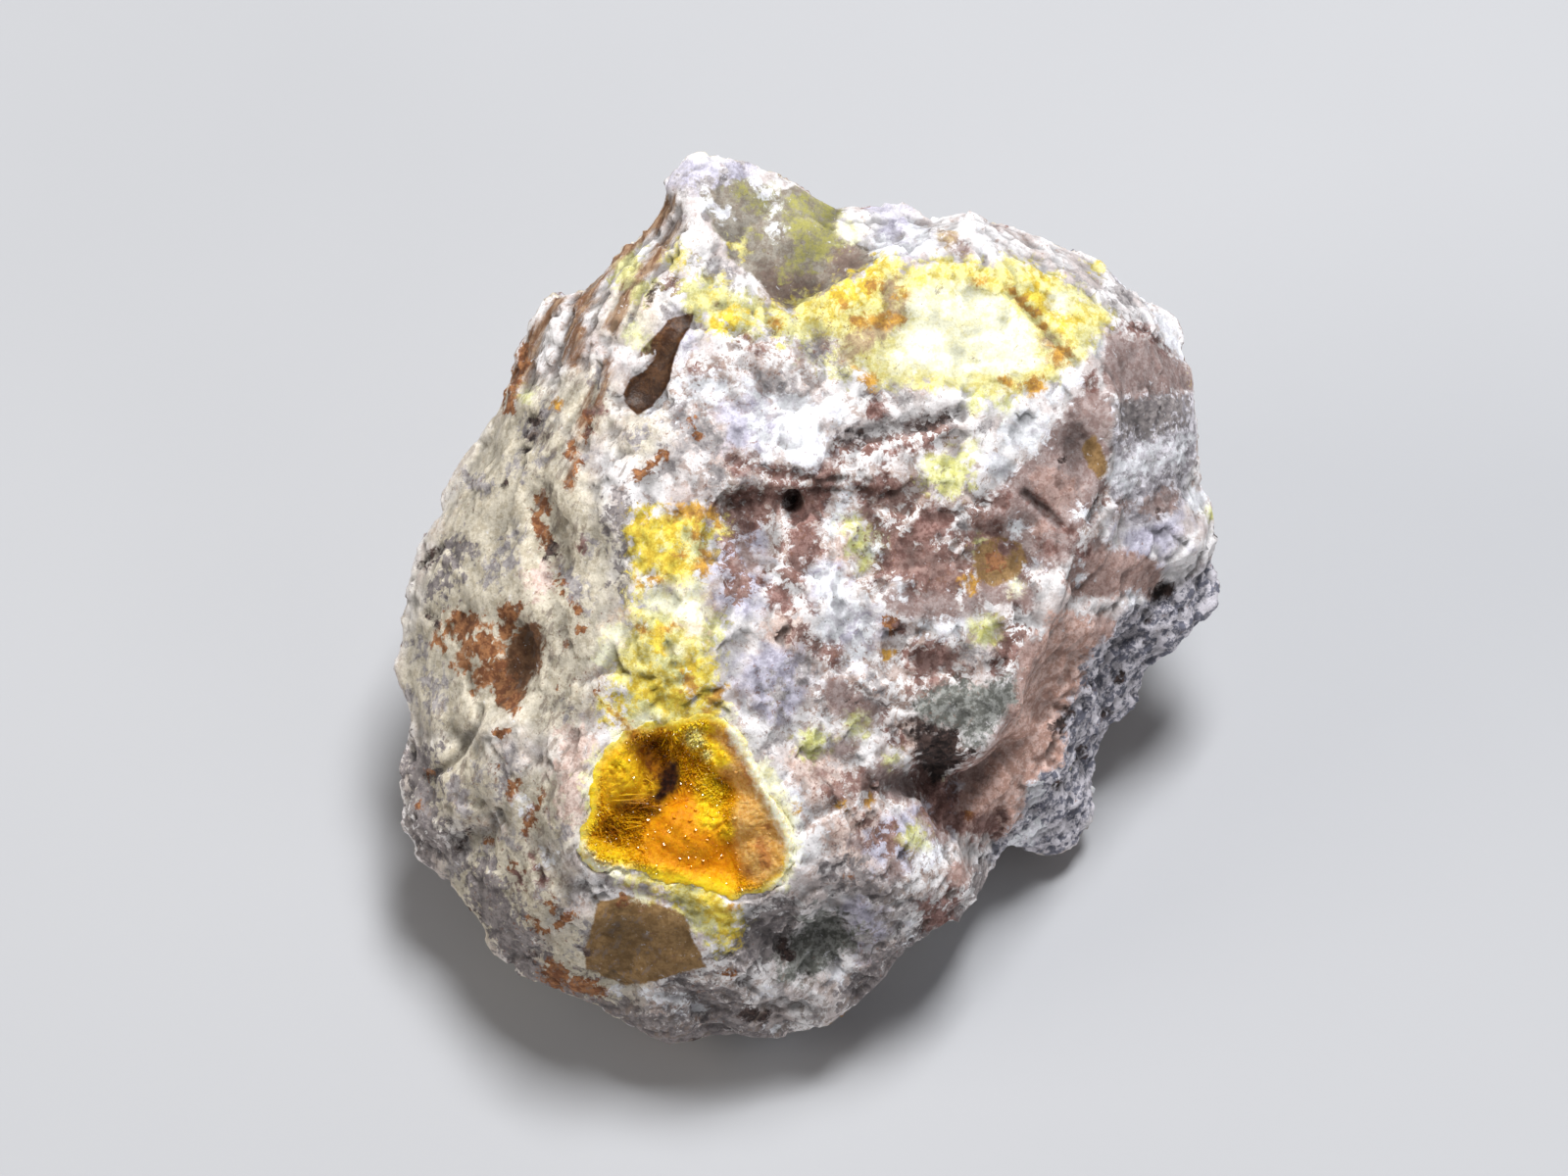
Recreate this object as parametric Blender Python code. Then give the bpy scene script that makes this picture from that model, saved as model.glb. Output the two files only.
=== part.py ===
"""Uranophane specimen: a small lump of broken, recemented rock with a crystal-lined vug.

Run with: blender --background --python part.py
Units are metres and +Z is up; the shape is drawn in millimetres in the "face frame" and then set down.

The face frame belongs to the show face, the side that carries the vug. Its axes are right, up (up the
face) and out (away from the rock). The rock lies on its back, so the show face looks up and leans
FACE_LEAN degrees towards -Y. The base is a flat broken face at z = 0.

Nodes: matrix_rock, the one stone, and vug_crystal_crust, the druse that lines its hollow.
"""

import math

import bmesh
import bpy
from mathutils import Matrix, Vector, geometry, noise
from mathutils.bvhtree import BVHTree

MM = 0.001

# ---------------------------------------------------------------- driving dimensions, mm and degrees
FACE_LEAN = 30.0  # the show face leans this far forward from facing straight up
FACE_ORIGIN = (-0.1, 1.0, 17.5)  # where the face frame's origin stands in the finished part
LONGEST_EDGE = 0.9  # of the refined cage, before the roughness moves it
UNDERCUT_SHARE = 0.95  # the back starts at a copy of the rim drawn in by this share
UNDERCUT_DROP = 2.6  # and this far behind it
VOXEL = 0.6  # cell of the remesh that evens out the triangles
KEEP_SHARE = 0.118  # share of the remeshed triangles that the solid keeps

LUMPS = ((9.0, 0.4), (3.0, 0.3))  # size of the rounded lumps and how far they stand
CHIPS = ((6.5, 0.1), (2.8, 0.14))  # size of the flat chips of the broken surface, and their tilt
CHIP_SHUFFLE = 7.0  # spreads neighbouring chips over cells far apart, so that each leans its own way
BACK_CHIPS = 2.6  # the chips tilt this much more on the back and the lower right
RIM_CALM = 0.4  # share of the roughness that is left where the rock turns away from the show face
CALM_FADE = 1.6  # how quickly that calm fades as the surface turns to face out or back
FRONT_LIMIT = -0.2  # surfaces that face out by more than this carry the dents and the layers
CAGE_SOFTENING = 0.3  # how far the refined cage is smoothed

CRUST_GAP = 0.3  # clearance between the crust and its bed in the rock
CRUST_RIM_PROUD = 0.3  # the crust's edge stands this far above the rock round it
CRUST_RIM_DEPTH = 0.8  # and goes this far down into it
CRUST_RIM_WIDTH = 0.9  # the druse comes up to the rim over this width
CRUST_SLOPE_WIDTH = 3.4  # and its floor comes up from full depth over this width
CRUST_BOWL_DEPTH = 6.9  # further depth of the bed at the vug's middle
CRUST_FLOOR = -3.4  # the druse's floor, below the rock's surface
CRUST_EDGE_POINTS = 64
CRUST_BED_PITCH = 2.2  # of the coarse triangles of the bed
DRUSE_PITCH = 0.56  # between the druse's points: every third one is the tip of a crystal
DRUSE_TIP = 0.5  # how far the tallest crystal tips stand above their feet
DRUSE_TIP_SPREAD = 0.4  # share of that by which the tips differ
GRID_MARGIN = 0.6  # share of the pitch that the inner points keep from the edge
BED_CUTTER_REACH = 7.0  # the bed's cutter ends this far outside the rock
ABOVE_ROCK = 60.0  # well clear of the show face
GROUND_BLOCK = 100.0  # side of the block that cuts the base

# ---------------------------------------------------------------- the cage, (right, up, out) in mm
# The rim, where the show face turns into the back: clockwise from the top left peak.
OUTLINE = [
    (-10, 30, 8), (-8, 31, 7.5), (-5, 31, 7), (-3, 30.2, 6.5), (-1.5, 29.3, 6), (0.7, 28.7, 5),
    (2.5, 27.4, 4), (4.3, 27.6, 3), (6, 27.8, 2), (7.6, 27.2, 2), (9, 26.4, 3), (10.5, 27, 3.5),
    (12.5, 26.5, 3), (15, 26, 2), (17, 24.8, 1.5), (19.4, 24.2, 1), (21.3, 23, 1), (22.6, 21.5, 0.5),
    (24.7, 20.5, 0), (25.9, 18.4, 0), (27.4, 16.3, 0), (27.5, 13.3, -1), (27, 10.9, -1),
    (27.1, 8.8, -2), (28.4, 7.5, -3), (29, 5, -3), (28.2, 2.7, -4), (29, 1, -4), (27.2, -1.4, -5),
    (24.1, -4.4, -6), (22.8, -7.5, -7), (20.7, -9.9, -8), (19.7, -14, -8), (18.6, -17.2, -8),
    (16.6, -17.8, -7), (13.6, -17.3, -4), (11.9, -20.4, 0), (10.2, -22.1, 1), (7.7, -23.3, 2),
    (5.8, -24.8, 2.5), (4.1, -26.9, 3), (2.2, -29.3, 2), (-0.4, -30.1, 1), (-2.9, -30.8, 1),
    (-5.8, -30.1, 1), (-8.5, -30.7, 1), (-10.9, -31, 1), (-12.6, -29.9, 1.5), (-14.6, -28.6, 2),
    (-17.3, -27.2, 2), (-19.4, -25.6, 2), (-21.8, -24, 2), (-23.5, -21.8, 2), (-25.5, -19.7, 1),
    (-27.9, -16.7, 0), (-28.8, -13.9, 0), (-28.6, -10.9, 0), (-27.8, -8.5, 0), (-28.6, -6.1, -1),
    (-29.1, -4.4, -1), (-28.1, -1.7, -1), (-28.1, 1, -1), (-26.9, 4.8, -1), (-24.8, 9, -1),
    (-22.3, 12.9, 0), (-21.1, 15.6, 1), (-19.7, 18.4, 2), (-18.4, 20.1, 3), (-16, 21.8, 4),
    (-14.3, 23.6, 5), (-12.2, 24.5, 6), (-10.4, 26.5, 7),
]

# Ridges, ledges and creases of the show face. Neighbours along a line share an edge of the cage.
FACE_LINES = {
    "main crest": [
        (-7.5, 25.5, 12), (-8.5, 22, 13), (-9, 19.5, 14.5), (-10.5, 12, 16), (-11.5, 6.5, 17.5),
        (-11.5, 1, 18.3), (-12, -4, 18.3), (-13.2, -7.5, 17.5),
    ],
    "crest beside the vug": [(-15.6, -12.5, 17), (-16, -17, 16), (-14.5, -19.8, 14.3)],
    "nose": [(-8.5, 3.5, 18.8), (-8.5, -1.5, 19.3), (-8.5, -5, 18.8)],
    "outer strata": [(-16.5, 20.5, 6.5), (-18.3, 17, 7.5), (-20, 13.5, 8), (-21, 9, 8)],
    "inner strata": [
        (-12.5, 23, 9.5), (-15, 19.5, 10.5), (-16, 14.5, 12), (-17, 10, 13), (-17.5, 5, 13.5),
        (-17, 1, 14.5),
    ],
    "left bulge": [(-24, 6.5, 4.5), (-25, 2.5, 4.5), (-25.5, -1, 4.5)],
    "rusty pit, lip": [(-19.5, -0.5, 14), (-17.4, -2.5, 14.2), (-17.7, -5.2, 14.2), (-20, -7.7, 13)],
    "rusty pit, foot": [(-20, -1.7, 11), (-18.3, -3, 10.5), (-18.6, -5, 10.5), (-20.5, -6.8, 11)],
    "rusty pit, floor": [(-22.2, -1.5, 9.5), (-22.2, -6, 9.3)],
    "left ledge": [(-22.5, -8.5, 10.5), (-24, -10.7, 8.2), (-25.5, -12, 6.5)],
    "left lower flank": [
        (-26, -6, 5), (-25.5, -15, 5), (-22, -16.3, 9), (-18.3, -18, 12.5), (-19.3, -22, 9),
        (-22, -20.5, 6),
    ],
    "top cap": [(-9, 29, 9.8), (-5.5, 29.6, 9), (-2.3, 28.4, 8.2), (1.2, 26.9, 6.6)],
    "olive facet": [
        (-6.5, 27, 10.6), (-4, 28, 8.6), (1.3, 25.6, 8), (4.3, 23.8, 8.6), (-0.9, 20.3, 10.4),
        (-5, 24, 11),
    ],
    "yellow ridge": [
        (-1.2, 19.2, 13.4), (1.8, 21.1, 13), (5, 22.8, 12.3), (8, 24.1, 11.4), (10.2, 25.5, 10.2),
    ],
    "top saddle": [(4, 25.5, 7.3), (7, 25.6, 6.2)],
    "yellow facet": [(7, 21.5, 12.9), (12, 22, 12.3)],
    "yellow facet, foot": [(3.5, 15.5, 15), (9, 15, 15), (15.3, 15, 14.8)],
    "crease": [(11, 26, 8.2), (12.5, 24, 10.9), (14.8, 20.2, 12.6), (18.5, 16.5, 13.6)],
    "past the crease": [(17, 22.5, 9.2), (20, 19.5, 10.3), (22.5, 18.7, 8)],
    "right edge": [
        (20.5, 12.5, 13.5), (19.5, 8, 13.2), (19, 6, 13), (16.8, 2.5, 13), (16.2, -0.5, 13),
        (15, -3, 13), (14, -5.8, 12.6), (13.8, -7.4, 12.2),
    ],
    "right flank": [
        (21.5, 15.5, 9.5), (21.7, 11, 9.8), (25, 14.5, 5.5), (25, 10, 4), (22, 6.5, 8), (25.5, 6, 3),
    ],
    "pink clast": [(18, 2, 10.4), (21.5, 4, 8), (24.5, 2.5, 4.3), (22, -1.5, 3.5), (18.3, -2.5, 7.5)],
    "tongue, left": [(16.2, -5, 6), (15, -10, 4.6), (12.4, -13.5, 4.4), (10.4, -16, 5)],
    "tongue, right": [(17.8, -7.8, 2.6), (15.8, -12.5, 1.6), (13.4, -15.6, 0.8)],
    "lower right": [(20.6, -5, -0.5), (19.2, -10.5, -3), (17.3, -15.5, -4.4)],
    "overhang, lip": [(5.5, -9, 13.8), (7, -10.2, 12.8), (10, -10.4, 12.2), (12.3, -9.6, 12.2)],
    "overhang, foot": [(7.6, -11.6, 6), (9.4, -12, 4.4), (11.8, -11.2, 4.2), (14, -9, 5)],
    "maroon wall": [(7, -16, 11.5), (8.2, -13.4, 7.2), (9.2, -15.8, 7.5)],
    "below the middle": [(1.5, -6, 15.8), (3, -12.5, 14.8), (7.8, -17.6, 10.8), (10.8, -19.3, 6)],
    "lower crest": [(-1.3, -19.5, 14.6), (2.5, -18.8, 13.7), (6, -19.6, 12), (8.6, -20.4, 8.6)],
    "grey hollow": [(-1.8, -22.3, 9), (1.5, -22, 7.4), (4, -23.4, 6.6), (-1.5, -25, 7.8)],
    "hollow's right lip": [(7, -21.6, 8), (5.4, -23.9, 6.6)],
    "lower front": [(-5.5, -22.5, 12.5), (-4, -26, 9.5)],
    "front foot": [(-6, -28.6, 4.8), (-0.5, -27.6, 7), (2.4, -26.4, 5.8)],
    "tan facet": [
        (-12.5, -20.8, 13.6), (-8, -21.2, 13.8), (-7, -25, 10.6), (-11, -26, 9), (-15, -24.5, 9),
    ],
    "tan facet's ledge": [(-16, -25.6, 7), (-12, -27.6, 5.4), (-8.5, -27.2, 6.8)],
    "vug shoulder": [
        (-11.5, -6.6, 18), (-6, -7.2, 17.8), (-0.9, -14.5, 16.4), (-1.2, -18.6, 15.4),
        (-6, -20.6, 14.6), (-11.6, -18.7, 15.4),
    ],
    "middle": [
        (-5, 11.5, 16.5), (8.5, 12.3, 15.5), (13.5, 9.6, 14.8), (12.2, 5.4, 14.2), (10.5, 1, 14.6),
    ],
    "middle, lower": [
        (-4.5, 1, 17.8), (0.5, 1.2, 17), (5, -0.5, 16), (9, -5, 14.8), (5, -5.6, 15), (-3, -6, 17.4),
    ],
    "cross ledge, lip": [(-5.5, 8.2, 17.2), (-1, 8.3, 17), (3, 8.4, 16.6), (9, 8.4, 15.8)],
    "cross ledge, foot": [(-5, 7.3, 15.9), (-1, 7.1, 15.5), (3, 7.3, 15.3), (9, 7.2, 15)],
}

# The back, which runs down past the base and is cut off there.
BACK_LINES = {
    "rear shoulder": [
        (-20, 13, -8), (-12, 20, -9), (-3, 24, -8), (7, 22.5, -11), (17, 19, -9), (23, 12, -9),
    ],
    "rear wall": [(-16, 11, -18), (-6, 17, -19), (6, 16.5, -20), (16, 12, -18)],
    "left shoulder": [(-23.5, 6, -10), (-25, -3, -9.5), (-24, -12, -8)],
    "right shoulder": [(25, 3, -13), (21.5, -4, -14), (17, -11.5, -13.5)],
    "keel": [(-13, 3, -25), (0, 8, -28.5), (13, 4, -25)],
    "front keel": [(-15, -9, -19), (0, -10, -21), (12, -9, -19)],
    "under the front": [(-17, -19, -7.5), (-6, -21.5, -9.6), (4, -20.5, -10), (12, -15.5, -11)],
}

# Dents and bumps too small for the cage. Each runs between two (right, up) places, with a radius and
# a depth, and a bump's depth is negative.
DENTS = {
    "hollow of the dark clast": ((-8.3, 18.8), (-11.4, 14.2), 1.9, 1.5),
    "left brown seam": ((-18.0, 7.0), (-17.0, 2.6), 1.5, 1.2),
    "round pit": ((-1.2, 6.4), (-1.2, 6.4), 1.2, 1.2),
    "white lump": ((-0.9, 10.6), (-0.3, 10.2), 2.2, -0.9),
    "groove above the cross ledge": ((1.5, 11.2), (10.2, 12.6), 0.9, 0.6),
    "maroon patches": ((-4.8, 6.2), (-1.4, 1.8), 1.7, 0.8),
    "ochre clast": ((18.1, 10.6), (18.5, 9.6), 1.7, 0.8),
    "seam beside the ochre clast": ((12.9, 8.6), (15.9, 6.2), 0.9, 0.5),
    "hollow below the middle": ((6.2, -3.0), (9.0, -4.2), 2.2, 0.8),
    "brown bowl": ((12.0, 3.0), (14.6, 4.2), 2.3, 0.9),
    "step under the pink band": ((4.6, 3.6), (8.6, 2.8), 1.4, 0.6),
    "notch on the left": ((-21.4, -14.6), (-23.2, -16.6), 1.7, 1.2),
    "crack on the left": ((-25.2, -8.8), (-22.6, -10.0), 0.9, 0.8),
    "dark spot on the left": ((-19.4, 12.2), (-19.0, 10.6), 1.6, 0.6),
    "seam beside the vug": ((-18.6, -9.5), (-17.8, -17.5), 1.1, 0.6),
    "knob at the lower right": ((17.2, -12.4), (18.0, -14.2), 2.4, -0.9),
    "knob at the right": ((26.2, 4.2), (26.2, 4.2), 2.2, -0.8),
    "cleft of the right flank": ((24.5, 1.8), (20.4, -5.5), 1.5, 1.0),
    "hollow in the front foot": ((-2.2, -28.4), (-0.8, -28.0), 1.8, 1.0),
    "knob in the front foot": ((-10.2, -28.6), (-9.0, -29.0), 2.0, -0.7),
    "fold above the yellow column": ((-7.4, 9.5), (-9.6, 6.0), 1.3, -0.5),
}

CHIPPED_PLACE = (22.0, -9.0)  # the lower right is as chipped as the back: right, up
CHIPPED_REACH = 14.0
CHIPPED_SHARE = 0.5

# Parallel layers show on the upper left flank as low steps.
STRATA_PLACE = (-16.5, 16.5)  # right, up
STRATA_REACH = 9.0
STRATA_ACROSS = (0.86, -0.5)  # direction across the layers, in the face
STRATA_PITCH = 1.9
STRATA_STEP = 0.55
STRATA_WANDER = (5.0, 0.8)  # the layers bend over this distance, by this share of the pitch

# The vug's edge, clockwise from its top, and the mounds and holes of the druse in it.
VUG_MIDDLE = (-8.2, -13.6)
VUG_EDGE = [
    (-8.5, -8.0), (-7.0, -7.6), (-5.4, -8.1), (-4.3, -9.6), (-3.4, -11.9), (-2.0, -13.9),
    (-1.2, -16.0), (-1.7, -18.2), (-3.2, -19.4), (-4.8, -19.9), (-6.2, -19.3), (-8.2, -18.7),
    (-10.1, -18.3), (-11.6, -17.9), (-12.7, -17.6), (-14.1, -17.9), (-15.2, -16.8), (-15.0, -15.4),
    (-14.5, -14.1), (-14.3, -12.2), (-14.1, -10.7), (-13.0, -9.6), (-11.6, -8.6), (-10.1, -8.1),
]
MOUNDS = {  # (right, up, radius, top), the top as depth below the rock's surface
    "upper left mound": (-12.4, -11.4, 2.4, -0.6),
    "great mound": (-8.3, -15.8, 3.6, -0.5),
    "right shelf": (-3.9, -14.6, 2.6, -0.2),
    "right shelf, foot": (-3.4, -17.0, 2.2, -0.2),
    "right shelf, head": (-5.2, -10.6, 2.3, -0.3),
    "upper bank": (-7.4, -9.2, 1.6, -0.8),
    "corner": (-14.0, -16.9, 1.2, -0.4),
}
HOLES = {  # (right, up, radius, extra depth)
    "deep hole": (-9.4, -11.8, 1.8, 3.2),
    "neck of the deep hole": (-9.7, -9.9, 1.3, 1.4),
    "cleft": (-11.4, -13.9, 1.6, 1.1),
    "corner hollow": (-13.3, -15.6, 1.4, 0.8),
}

MATERIALS = {  # base colour, roughness
    "breccia": ((0.62, 0.55, 0.50), 0.9),
    "uranophane": ((0.85, 0.52, 0.03), 0.35),
}


# ---------------------------------------------------------------- small helpers
def add_object(name, bm, material_name):
    """Turns a bmesh drawn in millimetres into an object in metres."""
    bm.transform(Matrix.Scale(MM, 4))
    mesh = bpy.data.meshes.new(name)
    bm.to_mesh(mesh)
    bm.free()
    obj = bpy.data.objects.new(name, mesh)
    bpy.context.scene.collection.objects.link(obj)
    if material_name:
        mesh.materials.append(make_material(material_name))
    return obj


def make_material(name):
    material = bpy.data.materials.get(name)
    if material is None:
        colour, roughness = MATERIALS[name]
        material = bpy.data.materials.new(name)
        material.use_nodes = True
        shader = material.node_tree.nodes["Principled BSDF"]
        shader.inputs["Base Color"].default_value = (*colour, 1)
        shader.inputs["Roughness"].default_value = roughness
    return material


def bump(distance, radius):
    """1 in the middle, falling smoothly to 0 at the radius."""
    if distance >= radius:
        return 0.0
    share = 1 - (distance / radius) ** 2
    return share * share * (3 - 2 * share)


def flat_distance(point, right, up):
    return math.hypot(point.x - right, point.y - up)


def stroke_distance(point, start, end):
    """How far the point is from the stroke between two (right, up) places."""
    start, end = Vector(start), Vector(end)
    along = end - start
    share = (point.xy - start).dot(along) / max(along.length_squared, 1e-9)
    nearest = start + along * min(1.0, max(0.0, share))
    return flat_distance(point, *nearest)


# ---------------------------------------------------------------- the rock
def undercut():
    """The closed line just behind the rim from which the back runs down."""
    return [
        (x * UNDERCUT_SHARE, y * UNDERCUT_SHARE, z - UNDERCUT_DROP)
        for x, y, z in OUTLINE + OUTLINE[:1]
    ]


def add_side(bm, ring, lines, flipped):
    """Spans one side of the rock with triangles between the rim and that side's lines."""
    points = [Vector(p) for p in OUTLINE]
    edges = []
    for line in lines:
        first = len(points)
        closed = line[0] == line[-1]
        points += [Vector(p) for p in (line[:-1] if closed else line)]
        edges += [(i, i + 1) for i in range(first, len(points) - 1)]
        if closed:
            edges.append((len(points) - 1, first))
    rim = list(range(len(OUTLINE)))
    flat, _, faces, came_from, _, _ = geometry.delaunay_2d_cdt(
        [p.xy for p in points], edges, [rim[::-1]], 1, 1e-5
    )
    verts = {}
    for index, place in enumerate(flat):
        sources = came_from[index]
        if sources and sources[0] < len(ring):
            verts[index] = ring[sources[0]]
        elif sources:
            verts[index] = bm.verts.new(points[sources[0]])
        else:
            raise ValueError(f"two lines of the cage cross near {tuple(place)}")
    for face in faces:
        corners = [verts[i] for i in face]
        bm.faces.new(corners[::-1] if flipped else corners)


def refine(bm, longest):
    """Halves every edge longer than this until none is left."""
    while True:
        long_edges = [e for e in bm.edges if e.calc_length() > longest]
        if not long_edges:
            return
        bmesh.ops.subdivide_edges(bm, edges=long_edges, cuts=1)
        bmesh.ops.triangulate(bm, faces=bm.faces)


def chips(point, size, tilt):
    """Flat chips of a broken surface: each cell's plane leans its own way, with a step to the next."""
    scaled = point / size
    centre = noise.voronoi(scaled)[1][0]
    lean = 2 * noise.cell_vector(centre * CHIP_SHUFFLE) - Vector((1, 1, 1))
    return size * tilt * lean.dot(scaled - centre)


def strata(point):
    """Saw-tooth steps of the layers on the upper left flank."""
    reach = bump(flat_distance(point, *STRATA_PLACE), STRATA_REACH)
    if reach == 0:
        return 0.0
    across = point.x * STRATA_ACROSS[0] + point.y * STRATA_ACROSS[1]
    wander = noise.noise(point / STRATA_WANDER[0]) * STRATA_WANDER[1]
    return reach * STRATA_STEP * ((across / STRATA_PITCH + wander) % 1.0 - 0.5)


def relief(point, normal):
    """How far the rough surface stands out from the cage here, in mm."""
    lower_right = bump(flat_distance(point, *CHIPPED_PLACE), CHIPPED_REACH)
    broken = max(min(1.0, -normal.z * CALM_FADE), CHIPPED_SHARE * lower_right)
    calm = RIM_CALM + (1 - RIM_CALM) * min(1.0, abs(normal.z) * CALM_FADE)
    height = sum(noise.noise(point / size) * stand for size, stand in LUMPS)
    height += sum(chips(point, size, tilt) for size, tilt in CHIPS) * (1 + (BACK_CHIPS - 1) * broken)
    height *= calm
    if normal.z > FRONT_LIMIT:
        height += strata(point)
        height -= sum(
            depth * bump(stroke_distance(point, start, end), radius)
            for start, end, radius, depth in DENTS.values()
        )
    return height


def make_rock():
    bm = bmesh.new()
    ring = [bm.verts.new(p) for p in OUTLINE]
    add_side(bm, ring, list(FACE_LINES.values()), flipped=False)
    add_side(bm, ring, [undercut(), *BACK_LINES.values()], flipped=True)
    bmesh.ops.recalc_face_normals(bm, faces=bm.faces)
    refine(bm, LONGEST_EDGE)
    bmesh.ops.smooth_vert(
        bm,
        verts=bm.verts,
        factor=CAGE_SOFTENING,
        use_axis_x=True,
        use_axis_y=True,
        use_axis_z=True,
    )
    bm.normal_update()
    moves = [(v, v.normal * relief(v.co, v.normal)) for v in bm.verts]
    for vert, move in moves:
        vert.co += move
    rock = add_object("matrix_rock", bm, "breccia")

    remesh = rock.modifiers.new("Even triangles", "REMESH")
    remesh.mode = "VOXEL"
    remesh.voxel_size = VOXEL * MM
    decimate = rock.modifiers.new("Fewer triangles", "DECIMATE")
    decimate.ratio = KEEP_SHARE
    decimate.use_collapse_triangulate = True
    return rock


def surface_reader(rock):
    """A function that gives the rock's height in the face frame above a place on the show face, in mm."""
    graph = bpy.context.evaluated_depsgraph_get()
    tree = BVHTree.FromObject(rock, graph)

    def height(right, up):
        start = Vector((right, up, ABOVE_ROCK)) * MM
        hit, _, _, _ = tree.ray_cast(start, Vector((0, 0, -1)))
        return hit.z / MM

    return height


# ---------------------------------------------------------------- the vug
def even_ring(points, count):
    """Points spread evenly along a closed outline."""
    corners = [Vector(p) for p in points]
    sides = [(corners[i - 1], corners[i]) for i in range(len(corners))]
    total = sum((b - a).length for a, b in sides)
    ring, walked, side = [], 0.0, 0
    for step in range(count):
        target = total * step / count
        while walked + (sides[side][1] - sides[side][0]).length < target:
            walked += (sides[side][1] - sides[side][0]).length
            side += 1
        a, b = sides[side]
        ring.append(a.lerp(b, (target - walked) / (b - a).length))
    return ring


def depth_inside(place, ring):
    """How far the place is inside the outline, in mm, negative outside it."""
    inside = False
    nearest = math.inf
    for a, b in zip(ring, ring[1:] + ring[:1]):
        if (a.y > place.y) != (b.y > place.y):
            if place.x < a.x + (b.x - a.x) * (place.y - a.y) / (b.y - a.y):
                inside = not inside
        nearest = min(nearest, stroke_distance(place.to_3d(), a, b))
    return nearest if inside else -nearest


def honeycomb(ring, pitch):
    """(place, is a tip) on a grid of equal triangles inside the outline. Every third point is a tip."""
    low_x, high_x = min(p.x for p in ring), max(p.x for p in ring)
    low_y, high_y = min(p.y for p in ring), max(p.y for p in ring)
    row_step = pitch * math.sqrt(0.75)
    found = []
    for row in range(math.ceil((high_y - low_y) / row_step)):
        for column in range(math.ceil((high_x - low_x) / pitch)):
            place = Vector((low_x + pitch * (column + row % 2 / 2), low_y + row_step * row))
            if depth_inside(place, ring) > pitch * GRID_MARGIN:
                tip = (column - row // 2 - row % 2 * 2) % 3 == 0
                found.append((place, tip))
    return found


def druse_relief(place, inside):
    """The druse against the rock's surface, in mm: its rim, floor, mounds and holes."""
    sunk = min(1.0, max(0.0, inside / CRUST_SLOPE_WIDTH))
    floor = CRUST_FLOOR * sunk * (2 - sunk)
    for right, up, radius, extra in HOLES.values():
        floor -= extra * bump(flat_distance(place, right, up), radius)
    height = floor
    for right, up, radius, top in MOUNDS.values():
        away = flat_distance(place, right, up) / radius
        height = max(height, top - (top - floor) * min(1.0, away * away))
    edge = 1 - min(1.0, max(0.0, inside / CRUST_RIM_WIDTH))
    return height + (CRUST_RIM_PROUD - height) * edge * edge


def patch(bm, ring, places, height):
    """One side of a lens: triangles over the outline and the places in it, at height(place, tip)."""
    flat = ring + [place for place, _ in places]
    rim = list(range(len(ring)))
    _, _, faces, came_from, _, _ = geometry.delaunay_2d_cdt(flat, [], [rim], 1, 1e-5)
    tips = [False] * len(ring) + [tip for _, tip in places]
    verts = []
    for sources in came_from:
        place = flat[sources[0]]
        verts.append(bm.verts.new((place.x, place.y, height(place, tips[sources[0]]))))
    for face in faces:
        bm.faces.new([verts[i] for i in face])
    by_source = {sources[0]: vert for sources, vert in zip(came_from, verts)}
    return [by_source[i] for i in rim]


def vug_solid(name, surface, top, top_places, gap, material):
    """A lens in the vug: a top of its own over the bowl-shaped bed, grown by gap."""
    middle = Vector(VUG_MIDDLE)
    ring = [p + (p - middle).normalized() * gap for p in even_ring(VUG_EDGE, CRUST_EDGE_POINTS)]
    widest = max(depth_inside(place, ring) for place, _ in honeycomb(ring, CRUST_BED_PITCH))

    def bed(place, _):
        share = min(1.0, max(0.0, depth_inside(place, ring) / widest))
        bowl = CRUST_BOWL_DEPTH * share * (2 - share)
        return surface(place.x, place.y) - CRUST_RIM_DEPTH - bowl - gap

    bm = bmesh.new()
    upper = patch(bm, ring, top_places, top)
    lower = patch(bm, ring, honeycomb(ring, CRUST_BED_PITCH), bed)
    for i, _ in enumerate(ring):
        bm.faces.new((upper[i - 1], upper[i], lower[i]))
        bm.faces.new((upper[i - 1], lower[i], lower[i - 1]))
    bmesh.ops.recalc_face_normals(bm, faces=bm.faces)
    return add_object(name, bm, material)


def make_crust(surface):
    ring = even_ring(VUG_EDGE, CRUST_EDGE_POINTS)

    def top(place, tip):
        height = druse_relief(place, depth_inside(place, ring))
        if tip:
            spread = DRUSE_TIP_SPREAD * (1 + noise.noise(place.to_3d() / DRUSE_PITCH)) / 2
            height += DRUSE_TIP * (1 - spread)
        return surface(place.x, place.y) + height

    places = honeycomb(ring, DRUSE_PITCH)
    return vug_solid("vug_crystal_crust", surface, top, places, 0.0, "uranophane")


def cut_vug(rock, surface):
    """Cuts the crust's bed out of the rock."""

    def top(place, _):
        return surface(place.x, place.y) + BED_CUTTER_REACH

    cutter = vug_solid("vug_bed_cutter", surface, top, [], CRUST_GAP, None)
    cutter.hide_render = True
    cutter.display_type = "WIRE"
    boolean = rock.modifiers.new("Vug", "BOOLEAN")
    boolean.operation = "DIFFERENCE"
    boolean.object = cutter
    return cutter


def cut_base(rock):
    """Cuts the rock off flat at z = 0, once it has been set down."""
    bm = bmesh.new()
    bmesh.ops.create_cube(bm, size=GROUND_BLOCK)
    bm.transform(Matrix.Translation((0, 0, -GROUND_BLOCK / 2)))
    block = add_object("ground_cutter", bm, None)
    block.hide_render = True
    block.display_type = "WIRE"
    boolean = rock.modifiers.new("Base", "BOOLEAN")
    boolean.operation = "DIFFERENCE"
    boolean.object = block


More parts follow.
